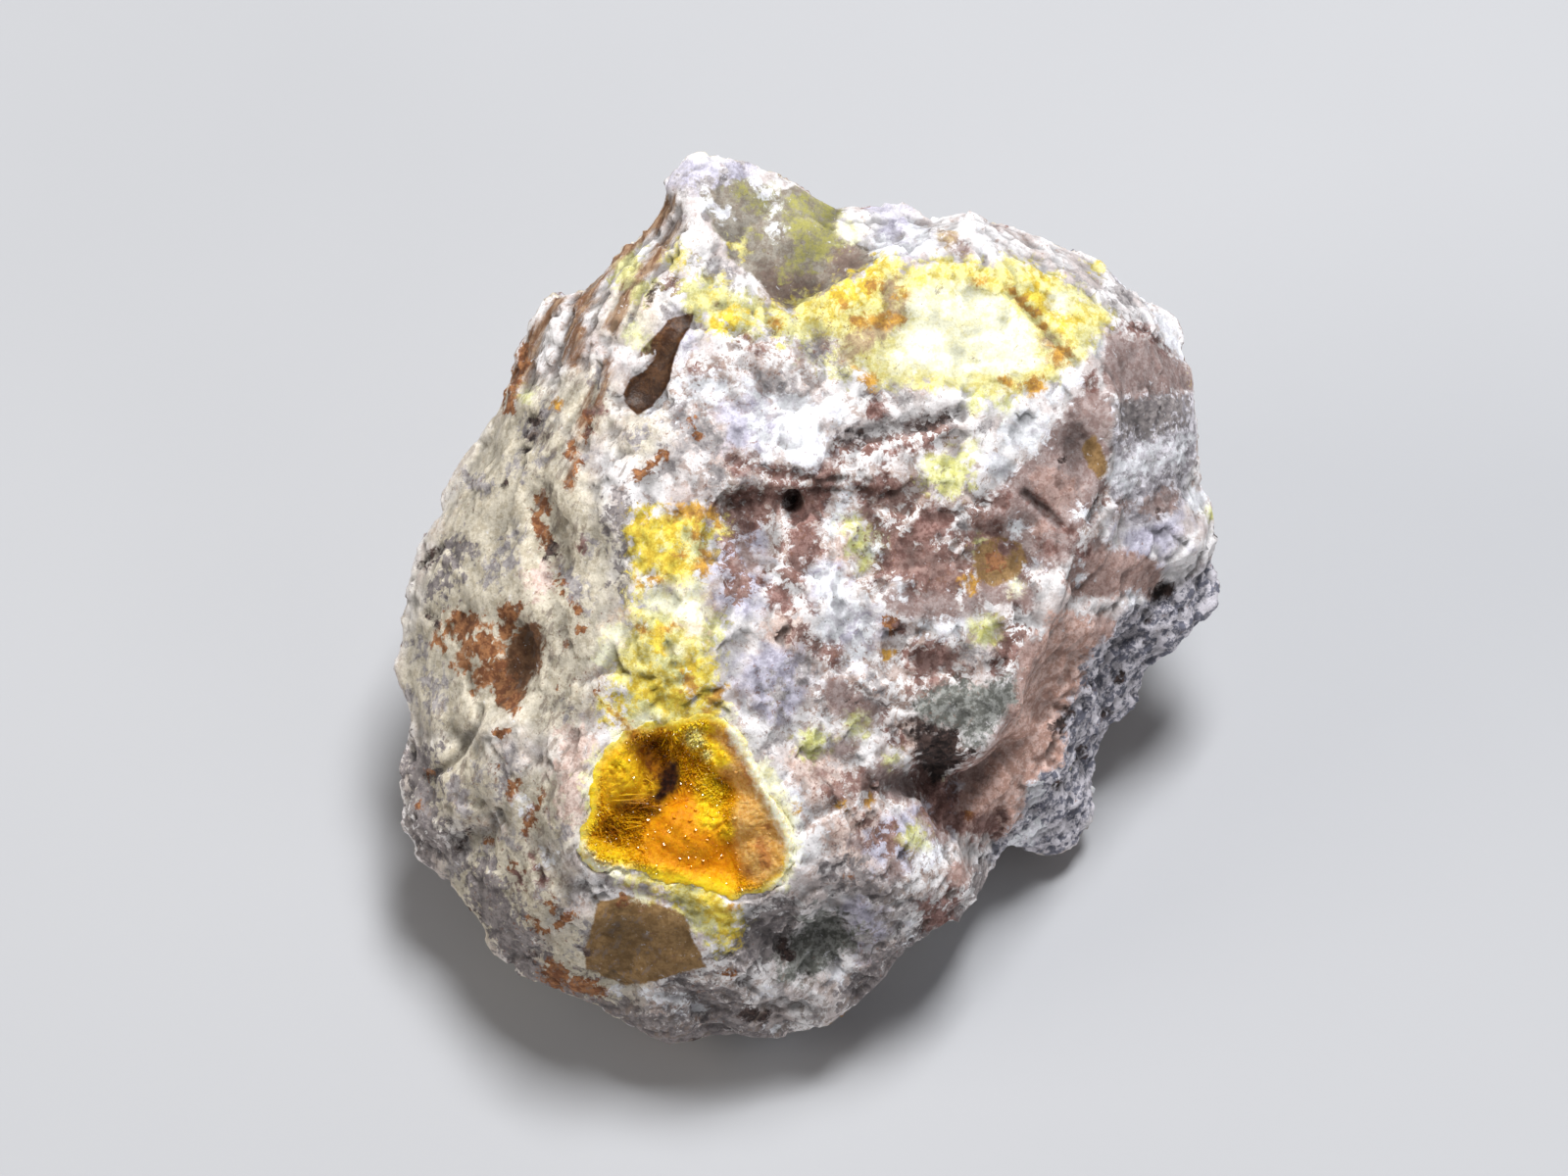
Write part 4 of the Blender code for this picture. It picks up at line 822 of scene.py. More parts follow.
BACK_GROWTH = 1.7  # the patches grow by this towards the back
BACK_PATCHES = {  # size of the patches on the back, mm, and how much of it they leave free
    "yellow": (4.0, 0.5), "cream": (4.0, 0.55), "orange": (2.5, 0.6), "white": (3.5, 0.05),
    "pink": (6.0, 0.3), "mauve": (5.0, 0.25), "maroon": (3.4, 0.33), "rust": (2.6, 0.42),
    "grey": (3.0, 0.1), "dark": (1.8, 0.42), "tan": (5.0, 0.5), "olive": (6.0, 0.55),
    "clast": (4.0, 0.6), "green": (4.5, 0.55), "grainy": (9.0, 0.0), "striped": (9.0, 0.6),
    "cream_and_warm_light": (14.0, 0.0), "freckled": (8.0, -0.1), "russet": (4.0, 0.28), "lilac": (5.0, 0.12),
    "lime": (6.0, 0.55), "streaked": (7.0, 0.1), "olive_yellow_in_shade": (5.0, 0.7), "shade": (5.0, 0.7),
    "facet": (6.0, 0.75), "glow": (5.0, 0.9), "rustpit": (5.0, 0.6), "tongue": (6.0, 0.6),
    "grey_and_shade": (4.5, 0.15), "rosy": (5.0, 0.15), "bedding": (2.5, 0.6), "lump": (1.6, 0.75),
    "umber": (4.0, 0.6), "smudge": (2.0, 0.75), "gilt": (3.0, 0.7), "blush": (3.0, 0.7),
}


def paint_rock(rock):
    """Stores the markings' fields, the hollows and the facing on the rock's vertices. The hollows' fields are
    for the painted shade in the hollows and painted light on the ridges.
    """
    mesh = rock.data
    points, edges = mesh_points(mesh), mesh_edges(mesh)
    normals = smoothed(mesh_normals(mesh), edges, FACING_ROUNDS)
    front = ramp(normals[:, 2], *FRONT_FADE)
    fields = {}
    for number, (name, (size, free)) in enumerate(BACK_PATCHES.items()):
        back = (swell(points, BACK_GROWTH * size, BACK_SEED + BACK_SEED_STEP * number) - free) * size
        face = painted(name, points[:, :2])
        fields[name] = np.clip(face, -FIELD_REACH, FIELD_REACH) * front + back * (1 - front)
    facing = mesh_normals(mesh)
    for name, (rounds, gain) in RELIEF_GAINS.items():
        stand = ((points - smoothed(points, edges, rounds)) * facing).sum(1)[:, None]
        fields[name] = smoothed(stand, edges, 1)[:, 0] * gain
    return store_fields(mesh, fields)


# ---------------------------------------------------------------- shader graphs
class Graph:
    """Builds a material's nodes. Values are sockets or plain numbers."""

    def __init__(self, name):
        self.material = bpy.data.materials.new(name)
        self.material.use_nodes = True
        self.tree = self.material.node_tree
        self.shader = self.tree.nodes["Principled BSDF"]
        drawn = self.node("TexCoord").outputs["Object"]
        turned = self.mapping(drawn, "Rotation", (math.radians(-FACE_LEAN), 0, 0))
        self.coordinates = self.mapping(turned, "Scale", (1, 1, DEPTH_SQUEEZE))
        self.attributes = {}

    def node(self, kind, **properties):
        node = self.tree.nodes.new(f"ShaderNode{kind}")
        for name, value in properties.items():
            setattr(node, name, value)
        return node

    def put(self, socket, value):
        if isinstance(value, bpy.types.NodeSocket):
            self.tree.links.new(value, socket)
        elif isinstance(value, tuple) and len(value) == 3 and socket.type == "RGBA":
            socket.default_value = (*value, 1)
        else:
            socket.default_value = value

    def surface(self, inputs):
        """Gives the shader its inputs, by name."""
        for name, value in inputs.items():
            self.put(self.shader.inputs[name], value)

    def mapping(self, vector, setting, value):
        """Coordinates turned or scaled."""
        node = self.node("Mapping")
        self.put(node.inputs["Vector"], vector)
        node.inputs[setting].default_value = value
        return node.outputs[0]

    def split(self, colour):
        node = self.node("SeparateColor")
        self.put(node.inputs[0], colour)
        return list(node.outputs)

    def math(self, operation, a, b, c=0.0):
        node = self.node("Math", operation=operation)
        for socket, value in zip(node.inputs, (a, b, c)):
            self.put(socket, value)
        return node.outputs[0]

    def ramp(self, value, low, high, to_low=0.0, to_high=1.0):
        """to_low where the value is below low, to_high above high, smooth between."""
        node = self.node("MapRange", interpolation_type="SMOOTHSTEP")
        given = {"Value": value, "From Min": low, "From Max": high, "To Min": to_low, "To Max": to_high}
        for name, setting in given.items():
            self.put(node.inputs[name], setting)
        return node.outputs["Result"]

    def mix(self, share, a, b):
        node = self.node("Mix", data_type="RGBA")
        for socket, value in zip((node.inputs[0], node.inputs[6], node.inputs[7]), (share, a, b)):
            self.put(socket, value)
        return node.outputs[2]

    def texture(self, node, vector, size, seed):
        """Feeds a 4D texture node, so that its features have about this size in mm."""
        self.put(node.inputs["Vector"], vector)
        node.inputs["W"].default_value = seed
        node.inputs["Scale"].default_value = 1 / (size * MM)

    def noise(self, size, detail, roughness, warp=0.0, seed=0.0, vector=None):
        """Noise with features of about this size in mm, around 0.5."""
        node = self.node("TexNoise", noise_dimensions="4D")
        self.texture(node, vector or self.coordinates, size, seed)
        node.inputs["Detail"].default_value = detail
        node.inputs["Roughness"].default_value = roughness
        node.inputs["Distortion"].default_value = warp
        return node.outputs["Fac"]

    def lined(self, size, detail, roughness, angle, ratio, seed):
        """Noise drawn out by this ratio along lines at this angle in the face, in degrees."""
        spun = self.mapping(self.coordinates, "Rotation", (0, 0, math.radians(-angle)))
        squeezed = self.mapping(spun, "Scale", (1 / ratio, 1, 1))
        return self.noise(size, detail, roughness, seed=seed, vector=squeezed)

    def cells(self, size, seed):
        """A random value from 0 to 1 for each angular cell of about this size in mm."""
        node = self.node("TexVoronoi", voronoi_dimensions="4D")
        self.texture(node, self.coordinates, size, seed)
        return self.split(node.outputs["Color"])[0]

    def field(self, place):
        """The socket of a packed field."""
        attribute, channel = place
        if attribute not in self.attributes:
            node = self.node("Attribute", attribute_name=attribute)
            self.attributes[attribute] = [*self.split(node.outputs["Color"]), node.outputs["Alpha"]]
        return self.attributes[attribute][channel]

    def layer(self, colour, field, edge, gain, pattern, light, dark, wander, soft, share):
        """Lays a marking of two tones over the colour. The edge noise makes its outline wander, and the
        pattern parts its tones. Wander and soft are in mm."""
        amount = wander / (2 * FIELD_REACH) * gain
        distance = self.math("MULTIPLY_ADD", edge, amount, field)
        middle, half = 0.5 + amount / 2, soft / (2 * FIELD_REACH)
        mask = self.ramp(distance, middle - half, middle + half)
        turn = TONE_TURN - share * TONE_RANGE
        tone = self.mix(self.ramp(pattern, turn - TONE_SPREAD, turn + TONE_SPREAD), light, dark)
        return self.mix(mask, colour, tone)

    def dabbed(self, colour, noise, area, more, low, high, strength, tone):
        """Dabs of a tone on the colour, between the noise's values low and high, and more in the area."""
        value = self.math("MULTIPLY_ADD", area, more, noise)
        return self.mix(self.math("MULTIPLY", self.ramp(value, low, high), strength), colour, tone)

    def bump(self, layers):
        """Bump from (height socket, distance in mm) layers."""
        normal = None
        for height, distance in layers:
            node = self.node("Bump")
            self.put(node.inputs["Height"], height)
            node.inputs["Distance"].default_value = distance * MM
            if normal:
                self.put(node.inputs["Normal"], normal)
            normal = node.outputs[0]
        return normal


# The dark tone sets in at TONE_TURN, lowered by its share of TONE_RANGE, give or take TONE_SPREAD.
TONE_TURN, TONE_RANGE, TONE_SPREAD = 0.62, 0.25, 0.06
ROCK_WANDER, CRUST_WANDER = 2.2, 2.0  # strength of the noise that makes the edges wander

# Each kind of marking, from the lowest to the topmost: its two tones, how much its edge wanders and how
# soft it is in mm, the noise that makes the edge wander, and how much of the darker tone shows.
ROCK_LAYERS = {
    # Cream of the left flank, its warm tint partly painted warm light from the left.
    "cream_and_warm_light": ((0.72, 0.65, 0.52), (0.54, 0.47, 0.35), 2.0, 1.6, "broad", 0.4),
    "rosy": ((0.74, 0.59, 0.52), (0.53, 0.37, 0.31), 3.2, 0.7, "ragged", 0.45),
    "lilac": ((0.60, 0.57, 0.66), (0.42, 0.39, 0.47), 3.2, 1.0, "broad", 0.4),
    "russet": ((0.34, 0.22, 0.19), (0.22, 0.12, 0.10), 3.6, 0.16, "ragged", 0.45),
    "lime": ((0.72, 0.69, 0.34), (0.55, 0.51, 0.20), 2.6, 0.5, "ragged", 0.4),
    "grainy": ((0.16, 0.16, 0.20), (0.70, 0.66, 0.70), 1.5, 0.7, "broad", 0.5),
    "striped": ((0.78, 0.74, 0.78), (0.34, 0.31, 0.33), 0.8, 0.3, "broad", 0.45),
    "grey": ((0.46, 0.42, 0.41), (0.28, 0.25, 0.25), 2.6, 0.4, "ragged", 0.45),
    # A darker grey, mostly painted shade along the lower rim and on the right flank; dark grey patches on the
    # hidden sides.
    "grey_and_shade": ((0.33, 0.29, 0.28), (0.19, 0.165, 0.165), 4.0, 0.4, "ragged", 0.45),
    "mauve": ((0.41, 0.32, 0.30), (0.29, 0.20, 0.18), 1.4, 0.3, "ragged", 0.5),
    "pink": ((0.48, 0.33, 0.29), (0.34, 0.21, 0.175), 1.1, 0.3, "ragged", 0.4),
    "tongue": ((0.76, 0.54, 0.47), (0.52, 0.31, 0.245), 1.5, 0.3, "ragged", 0.5),
    "olive": ((0.40, 0.36, 0.30), (0.29, 0.24, 0.19), 0.35, 0.1, "ragged", 0.5),
    "shade": ((0.29, 0.21, 0.17), (0.23, 0.16, 0.13), 2.2, 0.8, "ragged", 0.5),
    # The top cap's yellow coating, darkened to olive-yellow as painted shade.
    "olive_yellow_in_shade": ((0.41, 0.38, 0.12), (0.34, 0.31, 0.17), 2.2, 0.5, "ragged", 0.45),
    "bedding": ((0.37, 0.24, 0.15), (0.19, 0.095, 0.05), 1.3, 0.35, "bedded", 0.5),
    "tan": ((0.33, 0.20, 0.085), (0.235, 0.135, 0.052), 0.3, 0.1, "ragged", 0.45),
    "umber": ((0.27, 0.14, 0.07), (0.17, 0.08, 0.04), 0.8, 0.15, "ragged", 0.5),
    "green": ((0.36, 0.36, 0.33), (0.15, 0.15, 0.13), 2.4, 0.5, "ragged", 0.5),
    "rustpit": ((0.50, 0.24, 0.11), (0.32, 0.13, 0.05), 2.2, 0.3, "ragged", 0.5),
    "rust": ((0.42, 0.19, 0.08), (0.21, 0.08, 0.035), 1.4, 0.12, "ragged", 0.5),
    "maroon": ((0.32, 0.19, 0.165), (0.18, 0.09, 0.075), 1.9, 0.4, "ragged", 0.5),
    # Black specks, and painted shade in the creases, the pit and the recess under the block.
    "dark": ((0.11, 0.07, 0.06), (0.035, 0.024, 0.022), 1.2, 0.25, "ragged", 0.5),
    "white": ((0.88, 0.88, 0.90), (0.74, 0.71, 0.75), 2.0, 0.35, "ragged", 0.35),
    "clast": ((0.17, 0.075, 0.03), (0.08, 0.032, 0.013), 0.18, 0.07, "ragged", 0.5),
    "facet": ((0.82, 0.77, 0.38), (0.68, 0.59, 0.19), 1.6, 0.5, "ragged", 0.45),
    "yellow": ((0.82, 0.74, 0.30), (0.64, 0.50, 0.09), 2.2, 0.5, "ragged", 0.4),
    "gilt": ((0.80, 0.64, 0.09), (0.62, 0.42, 0.04), 2.6, 0.5, "ragged", 0.5),
    "blush": ((0.88, 0.76, 0.64), (0.80, 0.60, 0.46), 2.0, 0.6, "ragged", 0.45),
    "smudge": ((0.50, 0.38, 0.22), (0.37, 0.25, 0.15), 1.8, 0.6, "ragged", 0.5),
    "glow": ((0.93, 0.91, 0.66), (0.86, 0.79, 0.36), 1.7, 0.8, "ragged", 0.5),
    "cream": ((0.96, 0.94, 0.70), (0.90, 0.84, 0.50), 1.4, 0.5, "ragged", 0.35),
    "lump": ((0.80, 0.80, 0.42), (0.62, 0.60, 0.20), 1.5, 0.7, "ragged", 0.45),
    "orange": ((0.62, 0.34, 0.06), (0.42, 0.21, 0.05), 1.3, 0.3, "ragged", 0.5),
}
CHALK = ((0.81, 0.775, 0.765), (0.56, 0.485, 0.46))
CHALK_TURN = (0.44, 0.6)  # the clouds' values between which its tones change
CHALK_BROWN = (0.38, 0.26, 0.21)
SPECK_BROWN = (0.24, 0.12, 0.08)
SPECK_GREY = (0.13, 0.12, 0.115)
STREAK = (0.25, 0.19, 0.155)
DUST = (0.84, 0.83, 0.86)
DUST_STRENGTH = 0.75
DUSTINGS = {"green": (0.61, 0.66), "orange": (0.64, 0.71)}  # white dust settles on top of these layers
NOISES = {  # size in mm, detail, roughness, warp, seed
    "broad": (1.6, 5, 0.6, 0.0, 1.0),
    "fine": (0.75, 7, 0.72, 0.6, 3.0),
    "mottle": (0.55, 6, 0.75, 0.0, 5.0),
    "grain": (0.16, 3, 0.6, 0.0, 7.0),
    "clouds": (2.4, 6, 0.65, 0.4, 9.0),
    "blotches": (1.1, 7, 0.72, 0.8, 11.0),
    "freckles": (0.42, 5, 0.72, 0.5, 12.0),
    "specks": (0.34, 4, 0.7, 0.0, 13.0),
    "dust": (0.5, 7, 0.75, 0.7, 17.0),
    "grit": (0.3, 4, 0.75, 0.0, 19.0),
}
LINED_NOISES = {  # size in mm, detail, roughness, angle of the lines in degrees, how drawn out, seed
    "streaks": (0.5, 5, 0.7, 62, 3.0, 15.0),
    "glow": (0.9, 6, 0.7, -14, 3.5, 27.0),
    "bedded": (0.7, 6, 0.7, 62, 4.0, 33.0),
    "bedding": (0.5, 6, 0.7, 62, 6.0, 35.0),
    "striped": (0.6, 6, 0.7, -16, 4.0, 37.0),
}
CELL_SIZE = 0.5  # of the angular cells, mm
RAGGEDNESS = 0.16  # how far they shift the ragged edges
GRAIN_CELL = 0.6  # of the coarse grains, mm
GRAIN_SHARE = 0.14  # their share in the pattern of the grainy part
AREAS_OF_DABS = {"freckled": (0.15, 0.75), "streaked": (0.2, 0.7), "cream_and_warm_light": (0.45, 0.6)}  # stored values
# The noise, the area with more of it and how much, its values where the dabs set in, their strength and tone.
DABS_UNDER = [
    ("blotches", "freckled", 0.07, 0.57, 0.63, 0.7, CHALK_BROWN),
    ("freckles", "freckled", 0.07, 0.60, 0.65, 0.75, CHALK_BROWN),
]
DABS_OVER = [
    ("specks", "freckled", 0.05, 0.64, 0.68, 0.7, SPECK_BROWN),
    ("streaks", "streaked", 0.09, 0.62, 0.67, 0.6, STREAK),
    ("specks", "cream_and_warm_light", 0.01, 0.36, 0.31, 0.55, SPECK_GREY),
]
GRAIN_SHADE = (0.25, 0.75, 0.86, 1.12)  # from these two values of the grain to these two of brightness
# Painted shade in the hollows and painted light on the ridges: from these two values of each relief field to
# these two of brightness.
RELIEF_PAINTED_SHADES = {"near_relief": (0.36, 0.6, 0.66, 1.08), "far_relief": (0.3, 0.6, 0.6, 1.06)}
ROCK_ROUGHNESS, ROCK_SPECULAR = 0.9, 0.3
CLAST_SMOOTHER, CLAST_EDGE = 0.5, (0.49, 0.52)  # the clast is glossier
GRIT_BUMP, CELL_BUMP, GRAIN_BUMP = 0.06, 0.03, 0.03  # mm


def rock_material(where):
    g = Graph("breccia")
    noises = {name: g.noise(*values) for name, values in NOISES.items()}
    noises |= {name: g.lined(*values) for name, values in LINED_NOISES.items()}
    cells = g.cells(CELL_SIZE, seed=2.0)
    mottle = noises["mottle"]
    noises["ragged"] = g.math("MULTIPLY_ADD", g.math("SUBTRACT", cells, 0.5), RAGGEDNESS, noises["fine"])
    calm = g.math("MULTIPLY", mottle, 1 - GRAIN_SHARE)
    noises["grainy"] = g.math("MULTIPLY_ADD", g.cells(GRAIN_CELL, seed=29.0), GRAIN_SHARE, calm)
    areas = {name: g.ramp(g.field(where[name]), *edge) for name, edge in AREAS_OF_DABS.items()}

    colour = g.mix(g.ramp(noises["clouds"], *CHALK_TURN), *CHALK)
    for noise_name, area, *dab in DABS_UNDER:
        colour = g.dabbed(colour, noises[noise_name], areas[area], *dab)
    for name, (light, dark, wander, soft, edge, share) in ROCK_LAYERS.items():
        pattern = noises.get(name, mottle)  # some layers have a noise of their own, under the same name
        field = g.field(where[name])
        colour = g.layer(colour, field, noises[edge], ROCK_WANDER, pattern, light, dark, wander, soft, share)
        if name in DUSTINGS:
            settled = g.math("MULTIPLY", g.ramp(noises["dust"], *DUSTINGS[name]), DUST_STRENGTH)
            colour = g.mix(settled, colour, DUST)
    for noise_name, area, *dab in DABS_OVER:
        colour = g.dabbed(colour, noises[noise_name], areas[area], *dab)

    # The brightness: the grain's random tone, then painted shade in the hollows and painted light on the
    # ridges.
    shade = g.ramp(noises["grain"], *GRAIN_SHADE)
    for name, limits in RELIEF_PAINTED_SHADES.items():
        shade = g.math("MULTIPLY", shade, g.ramp(g.field(where[name]), *limits))
    shaded = g.node("VectorMath", operation="SCALE")
    g.put(shaded.inputs[0], colour)
    g.put(shaded.inputs["Scale"], shade)
    clast = g.ramp(g.field(where["clast"]), *CLAST_EDGE)
    g.surface({
        "Base Color": shaded.outputs[0],
        "Roughness": g.math("MULTIPLY_ADD", clast, -CLAST_SMOOTHER, ROCK_ROUGHNESS),
        "Specular IOR Level": ROCK_SPECULAR,
        "Normal": g.bump([(noises["grit"], GRIT_BUMP), (cells, CELL_BUMP), (noises["grain"], GRAIN_BUMP)]),
    })
    return g.material


# ---------------------------------------------------------------- the crust in the vug
CRUST_CELL = 0.11  # of the crust's grid, mm
CRUST_MARGIN = 1.5  # the grid reaches this far past the vug's edge
CRUST_BLUR_ROUNDS = 24  # rounds of smoothing that take the CAD crystals' coarse points away
EDGE_WANDER = ((0.22, 1.2, 6.0), (0.1, 0.5, 7.0))  # the vug's edge: how far, over which distance, seed
LAP_WIDTH = 0.32  # the crust laps this far over the rock
LAP_WANDER = ((0.4, 1.7, 2.0), (0.3, 0.6, 3.0))  # and that varies: how far, over which distance, seed
LAP_NARROWEST = 0.15
LAP_WIDTHS = 4  # the lap's shape is worked out up to this many widths
LAP_HEIGHT = 0.1
LAP_PROUD = 0.4  # higher by this along the pale rim
LAP_PROUD_FADE = (-0.6, 0.3)
LAP_LUMP, LAP_LUMP_SIZE = 0.04, 0.4
LAP_DIVE = 0.9  # how fast its outer edge goes into the rock
LAP_DIVE_START = 0.8  # from this share of its width on
LAP_CLEAR = 0.8  # the rock's surface is read only further out from the vug's edge than this
EDGE_REACH = 0.3  # the rock's brim reaches this far into the vug
EDGE_LUMP, EDGE_LUMP_SIZE = 0.1, 0.6
EDGE_LUMP_END = 0.4  # at full height from this distance outside the vug inwards
BRIM_REACH = 6.0  # the rock's points this far below the brim or further are left alone
EDGE_BLEND = 0.8  # the crust rises to its rim over this width
FILL_ROUNDS = 2500
LAP_END = 0.32  # the lap ends this far below the rock's surface
LAP_DEEPEST = 4 * LAP_END
KEEP_MARGIN = 0.15  # the grid's cells are kept up to this far outside the vug in any case
RIM_WIDTH = 0.25
KIND_BLEND = 0.3  # one kind of druse turns into another over this distance on either side
LUMP_FADE = (-0.1, 0.7)  # the lumps set in between these distances inside the vug
RAY_START = 60.0  # height above the face frame's origin, mm
CRUST_THICKNESS = 0.9
CRUST_BUMPS = {  # size and height of the lumps of each sort of druse
    "base": ((0.7, 0.14), (0.32, 0.08)),
    "orange": ((0.9, 0.07), (0.3, 0.02)),
    "lemon": ((0.6, 0.3), (0.3, 0.14)),
    "gold": ((0.6, 0.1), (0.28, 0.05)),
    "shelf": ((0.5, 0.08), (0.3, 0.05)),
}


def caster(obj):
    """A function that gives the height of the mesh above places on the face, NaN where there is none."""
    graph = bpy.context.evaluated_depsgraph_get()
    tree = BVHTree.FromObject(obj, graph)
    down = Vector((0, 0, -1))

    def heights(places):
        found = np.full(len(places), np.nan)
        for i, (x, y) in enumerate(places.tolist()):
            hit = tree.ray_cast(Vector((x, y, RAY_START)), down)[0]
            if hit:
                found[i] = hit.z
        return found

    return heights


def crust_fields(places, inside):
    """The kinds of druse, as fields on the vug."""
    fields = {
        name: np.maximum.reduce([stroke_field(places, radius, points) for radius, *points in strokes])
        for name, strokes in CRUST_STROKES.items()
    }
    fields["shelf"] = area_field(places, CRUST_SHELF)
    fields["rim"] = RIM_WIDTH - inside
    return fields


def around(grid):
    """The sum of each cell's four neighbours."""
    wide = np.pad(grid, 1, mode="edge")
    return wide[2:, 1:-1] + wide[:-2, 1:-1] + wide[1:-1, 2:] + wide[1:-1, :-2]


def grid_smoothed(grid, rounds):
    for _ in range(rounds):
        grid = (around(grid) + 4 * grid) / 8
    return grid


def filled(grid, missing):
    """The grid with its missing cells filled from those around them."""
    grid = np.where(missing, grid[~missing].mean(), grid)
    for _ in range(FILL_ROUNDS):
        grid = np.where(missing, around(grid) / 4, grid)
    return grid


def crust_lumps(flat, kind, seed):
    """The lumps of one kind of druse, in mm."""
    return sum(stand * np.abs(swell(flat, size, seed)) * 2 for size, stand in CRUST_BUMPS[kind])


def crust_surface(rock):
    """The crust's top as a grid: places, heights, how far inside the vug, which cells it keeps, the grid's
    shape, and the height up to which the rock's brim is raised."""
    edge = np.array(VUG_EDGE)
    low, high = edge.min(0) - CRUST_MARGIN, edge.max(0) + CRUST_MARGIN
    xs, ys = (np.arange(a, b, CRUST_CELL) for a, b in zip(low, high))
    shape = (len(xs), len(ys))
    places = np.stack(np.meshgrid(xs, ys, indexing="ij"), -1).reshape(-1, 2)
    flat = np.c_[places, np.zeros(len(places))]
    inside = wandering(area_field(places, VUG_EDGE), flat, EDGE_WANDER)
    ground = caster(rock)(places)
    cad = face_copy("vug_crystal_crust", "crust_form")
    form = caster(cad)(places)
    bpy.data.objects.remove(cad)
    rim = filled(ground.reshape(shape), (inside > -LAP_CLEAR).reshape(shape)).ravel()
    rim += EDGE_LUMP * swell(flat, EDGE_LUMP_SIZE, seed=5.0) * ramp(inside, -LAP_CLEAR, -EDGE_LUMP_END)
    brim = (inside > -LAP_CLEAR) & (inside < EDGE_REACH)
    ground = np.where(brim, np.maximum(ground, rim), ground)
    fields = crust_fields(places, inside)
    proud = LAP_HEIGHT + LAP_PROUD * ramp(fields["pale"], *LAP_PROUD_FADE)
    form = np.where(np.isnan(form) | (inside < 0), rim + proud, form)
    form = grid_smoothed(form.reshape(shape), CRUST_BLUR_ROUNDS).ravel()
    lumps = crust_lumps(flat, "base", seed=4.0)
    for name in ("orange", "gold", "lemon", "shelf"):
        share = ramp(fields[name], -KIND_BLEND, KIND_BLEND)
        lumps = lumps * (1 - share) + crust_lumps(flat, name, seed=6.0) * share
    top = form + lumps * ramp(inside, *LUMP_FADE)

    width = wandering(LAP_WIDTH, flat, LAP_WANDER)
    out = np.clip(-inside / np.maximum(width, LAP_NARROWEST), 0, LAP_WIDTHS)
    lap = rim + proud * (1 - out**2) - LAP_DIVE * np.maximum(out - LAP_DIVE_START, 0)
    lap = lap + LAP_LUMP * swell(flat, LAP_LUMP_SIZE, seed=8.0)
    edge_share = ramp(-inside, -EDGE_BLEND, 0.0)
    top = np.where(inside < 0, lap, top * (1 - edge_share) + (rim + proud) * edge_share)
    top = np.maximum(top, rim - LAP_DEEPEST)
    keep = (inside > -KEEP_MARGIN) | (top > ground - LAP_END)
    return places, top, inside, keep, shape, np.where(brim, rim, -np.inf)


def grid_cells(places, spots):
    """The column and row of the crust's grid that each spot is nearest to."""
    return ((spots - places[0]) / CRUST_CELL).round().astype(int)


def raise_brim(rock, surface):
    """Makes the rock's edge around the vug sharp: the smoothing had rounded it into the vug."""
    places, _, _, _, shape, brim = surface
    points = mesh_points(rock.data)
    cell = grid_cells(places, points[:, :2])
    within = ((cell >= 0) & (cell < np.array(shape))).all(1) & (mesh_normals(rock.data)[:, 2] > 0)
    i, j = np.where(within[:, None], cell, 0).T
    level = np.where(within, brim.reshape(shape)[i, j], -np.inf)
    near = points[:, 2] > level - BRIM_REACH
    points[:, 2] = np.where(near, np.maximum(points[:, 2], level), points[:, 2])
    set_points(rock.data, points)


def shell(name, points, quads, drop):
    """A closed piece from an open sheet of quads and a copy of it this far below."""
    count = len(points)
    lower = points.copy()
    lower[:, 2] -= drop
    pairs = np.concatenate([quads[:, [k, (k + 1) % 4]] for k in range(4)])
    codes = pairs[:, 0].astype(np.int64) * count + pairs[:, 1]
    mirror = pairs[:, 1].astype(np.int64) * count + pairs[:, 0]
    rim = pairs[~np.isin(codes, mirror)]
    walls = np.c_[rim[:, 1], rim[:, 0], rim[:, 0] + count, rim[:, 1] + count]
    faces = np.concatenate([quads, quads[:, ::-1] + count, walls])
    used, faces = np.unique(faces, return_inverse=True)
    return object_of(name, np.concatenate([points, lower])[used], faces.reshape(-1, 4))


def make_crust(surface):
    places, top, _, keep, shape, _ = surface
    index = np.arange(len(places)).reshape(shape)
    corners = [index[:-1, :-1], index[1:, :-1], index[1:, 1:], index[:-1, 1:]]
    quads = np.stack(corners, -1).reshape(-1, 4)
    quads = quads[keep[quads].all(1)]
    return shell("crust_skin", np.c_[places, top], quads, CRUST_THICKNESS)


CRYSTAL_FLATNESS = (0.45, 1.0)  # one width of a crystal as a share of the other


def crystal_mesh(name, feet, directions, widths, lengths, sides, point_share, rng):
    """Prisms with pointed tips as one mesh: each stands on its foot and is closed."""
    count = len(feet)
    directions = directions / np.linalg.norm(directions, axis=1)[:, None]
    helper = rng.normal(size=(count, 3))
    across = np.cross(directions, helper)
    across /= np.linalg.norm(across, axis=1)[:, None]
    third = np.cross(directions, across)
    angles = (np.arange(sides) * 2 * math.pi / sides)[None, :, None]
    flat = rng.uniform(*CRYSTAL_FLATNESS, size=(count, 1, 1))
    ring = np.cos(angles) * across[:, None] + flat * np.sin(angles) * third[:, None]
    low = feet[:, None] + ring * widths[:, None, None] / 2
    shoulder = low + (directions * (lengths * (1 - point_share))[:, None])[:, None]
    tip = (feet + directions * lengths[:, None])[:, None]
    corners = np.concatenate([low, shoulder, tip], 1)
    faces = []
    for k in range(sides):
        after = (k + 1) % sides
        faces += [(k, after, sides + after), (k, sides + after, sides + k)]
        faces += [(sides + k, sides + after, 2 * sides)]
    faces += [(0, k + 1, k) for k in range(1, sides - 1)]
    each = 2 * sides + 1
    faces = (np.array(faces)[None] + each * np.arange(count)[:, None, None]).reshape(-1, 3)
    return object_of(name, corners.reshape(-1, 3), faces)


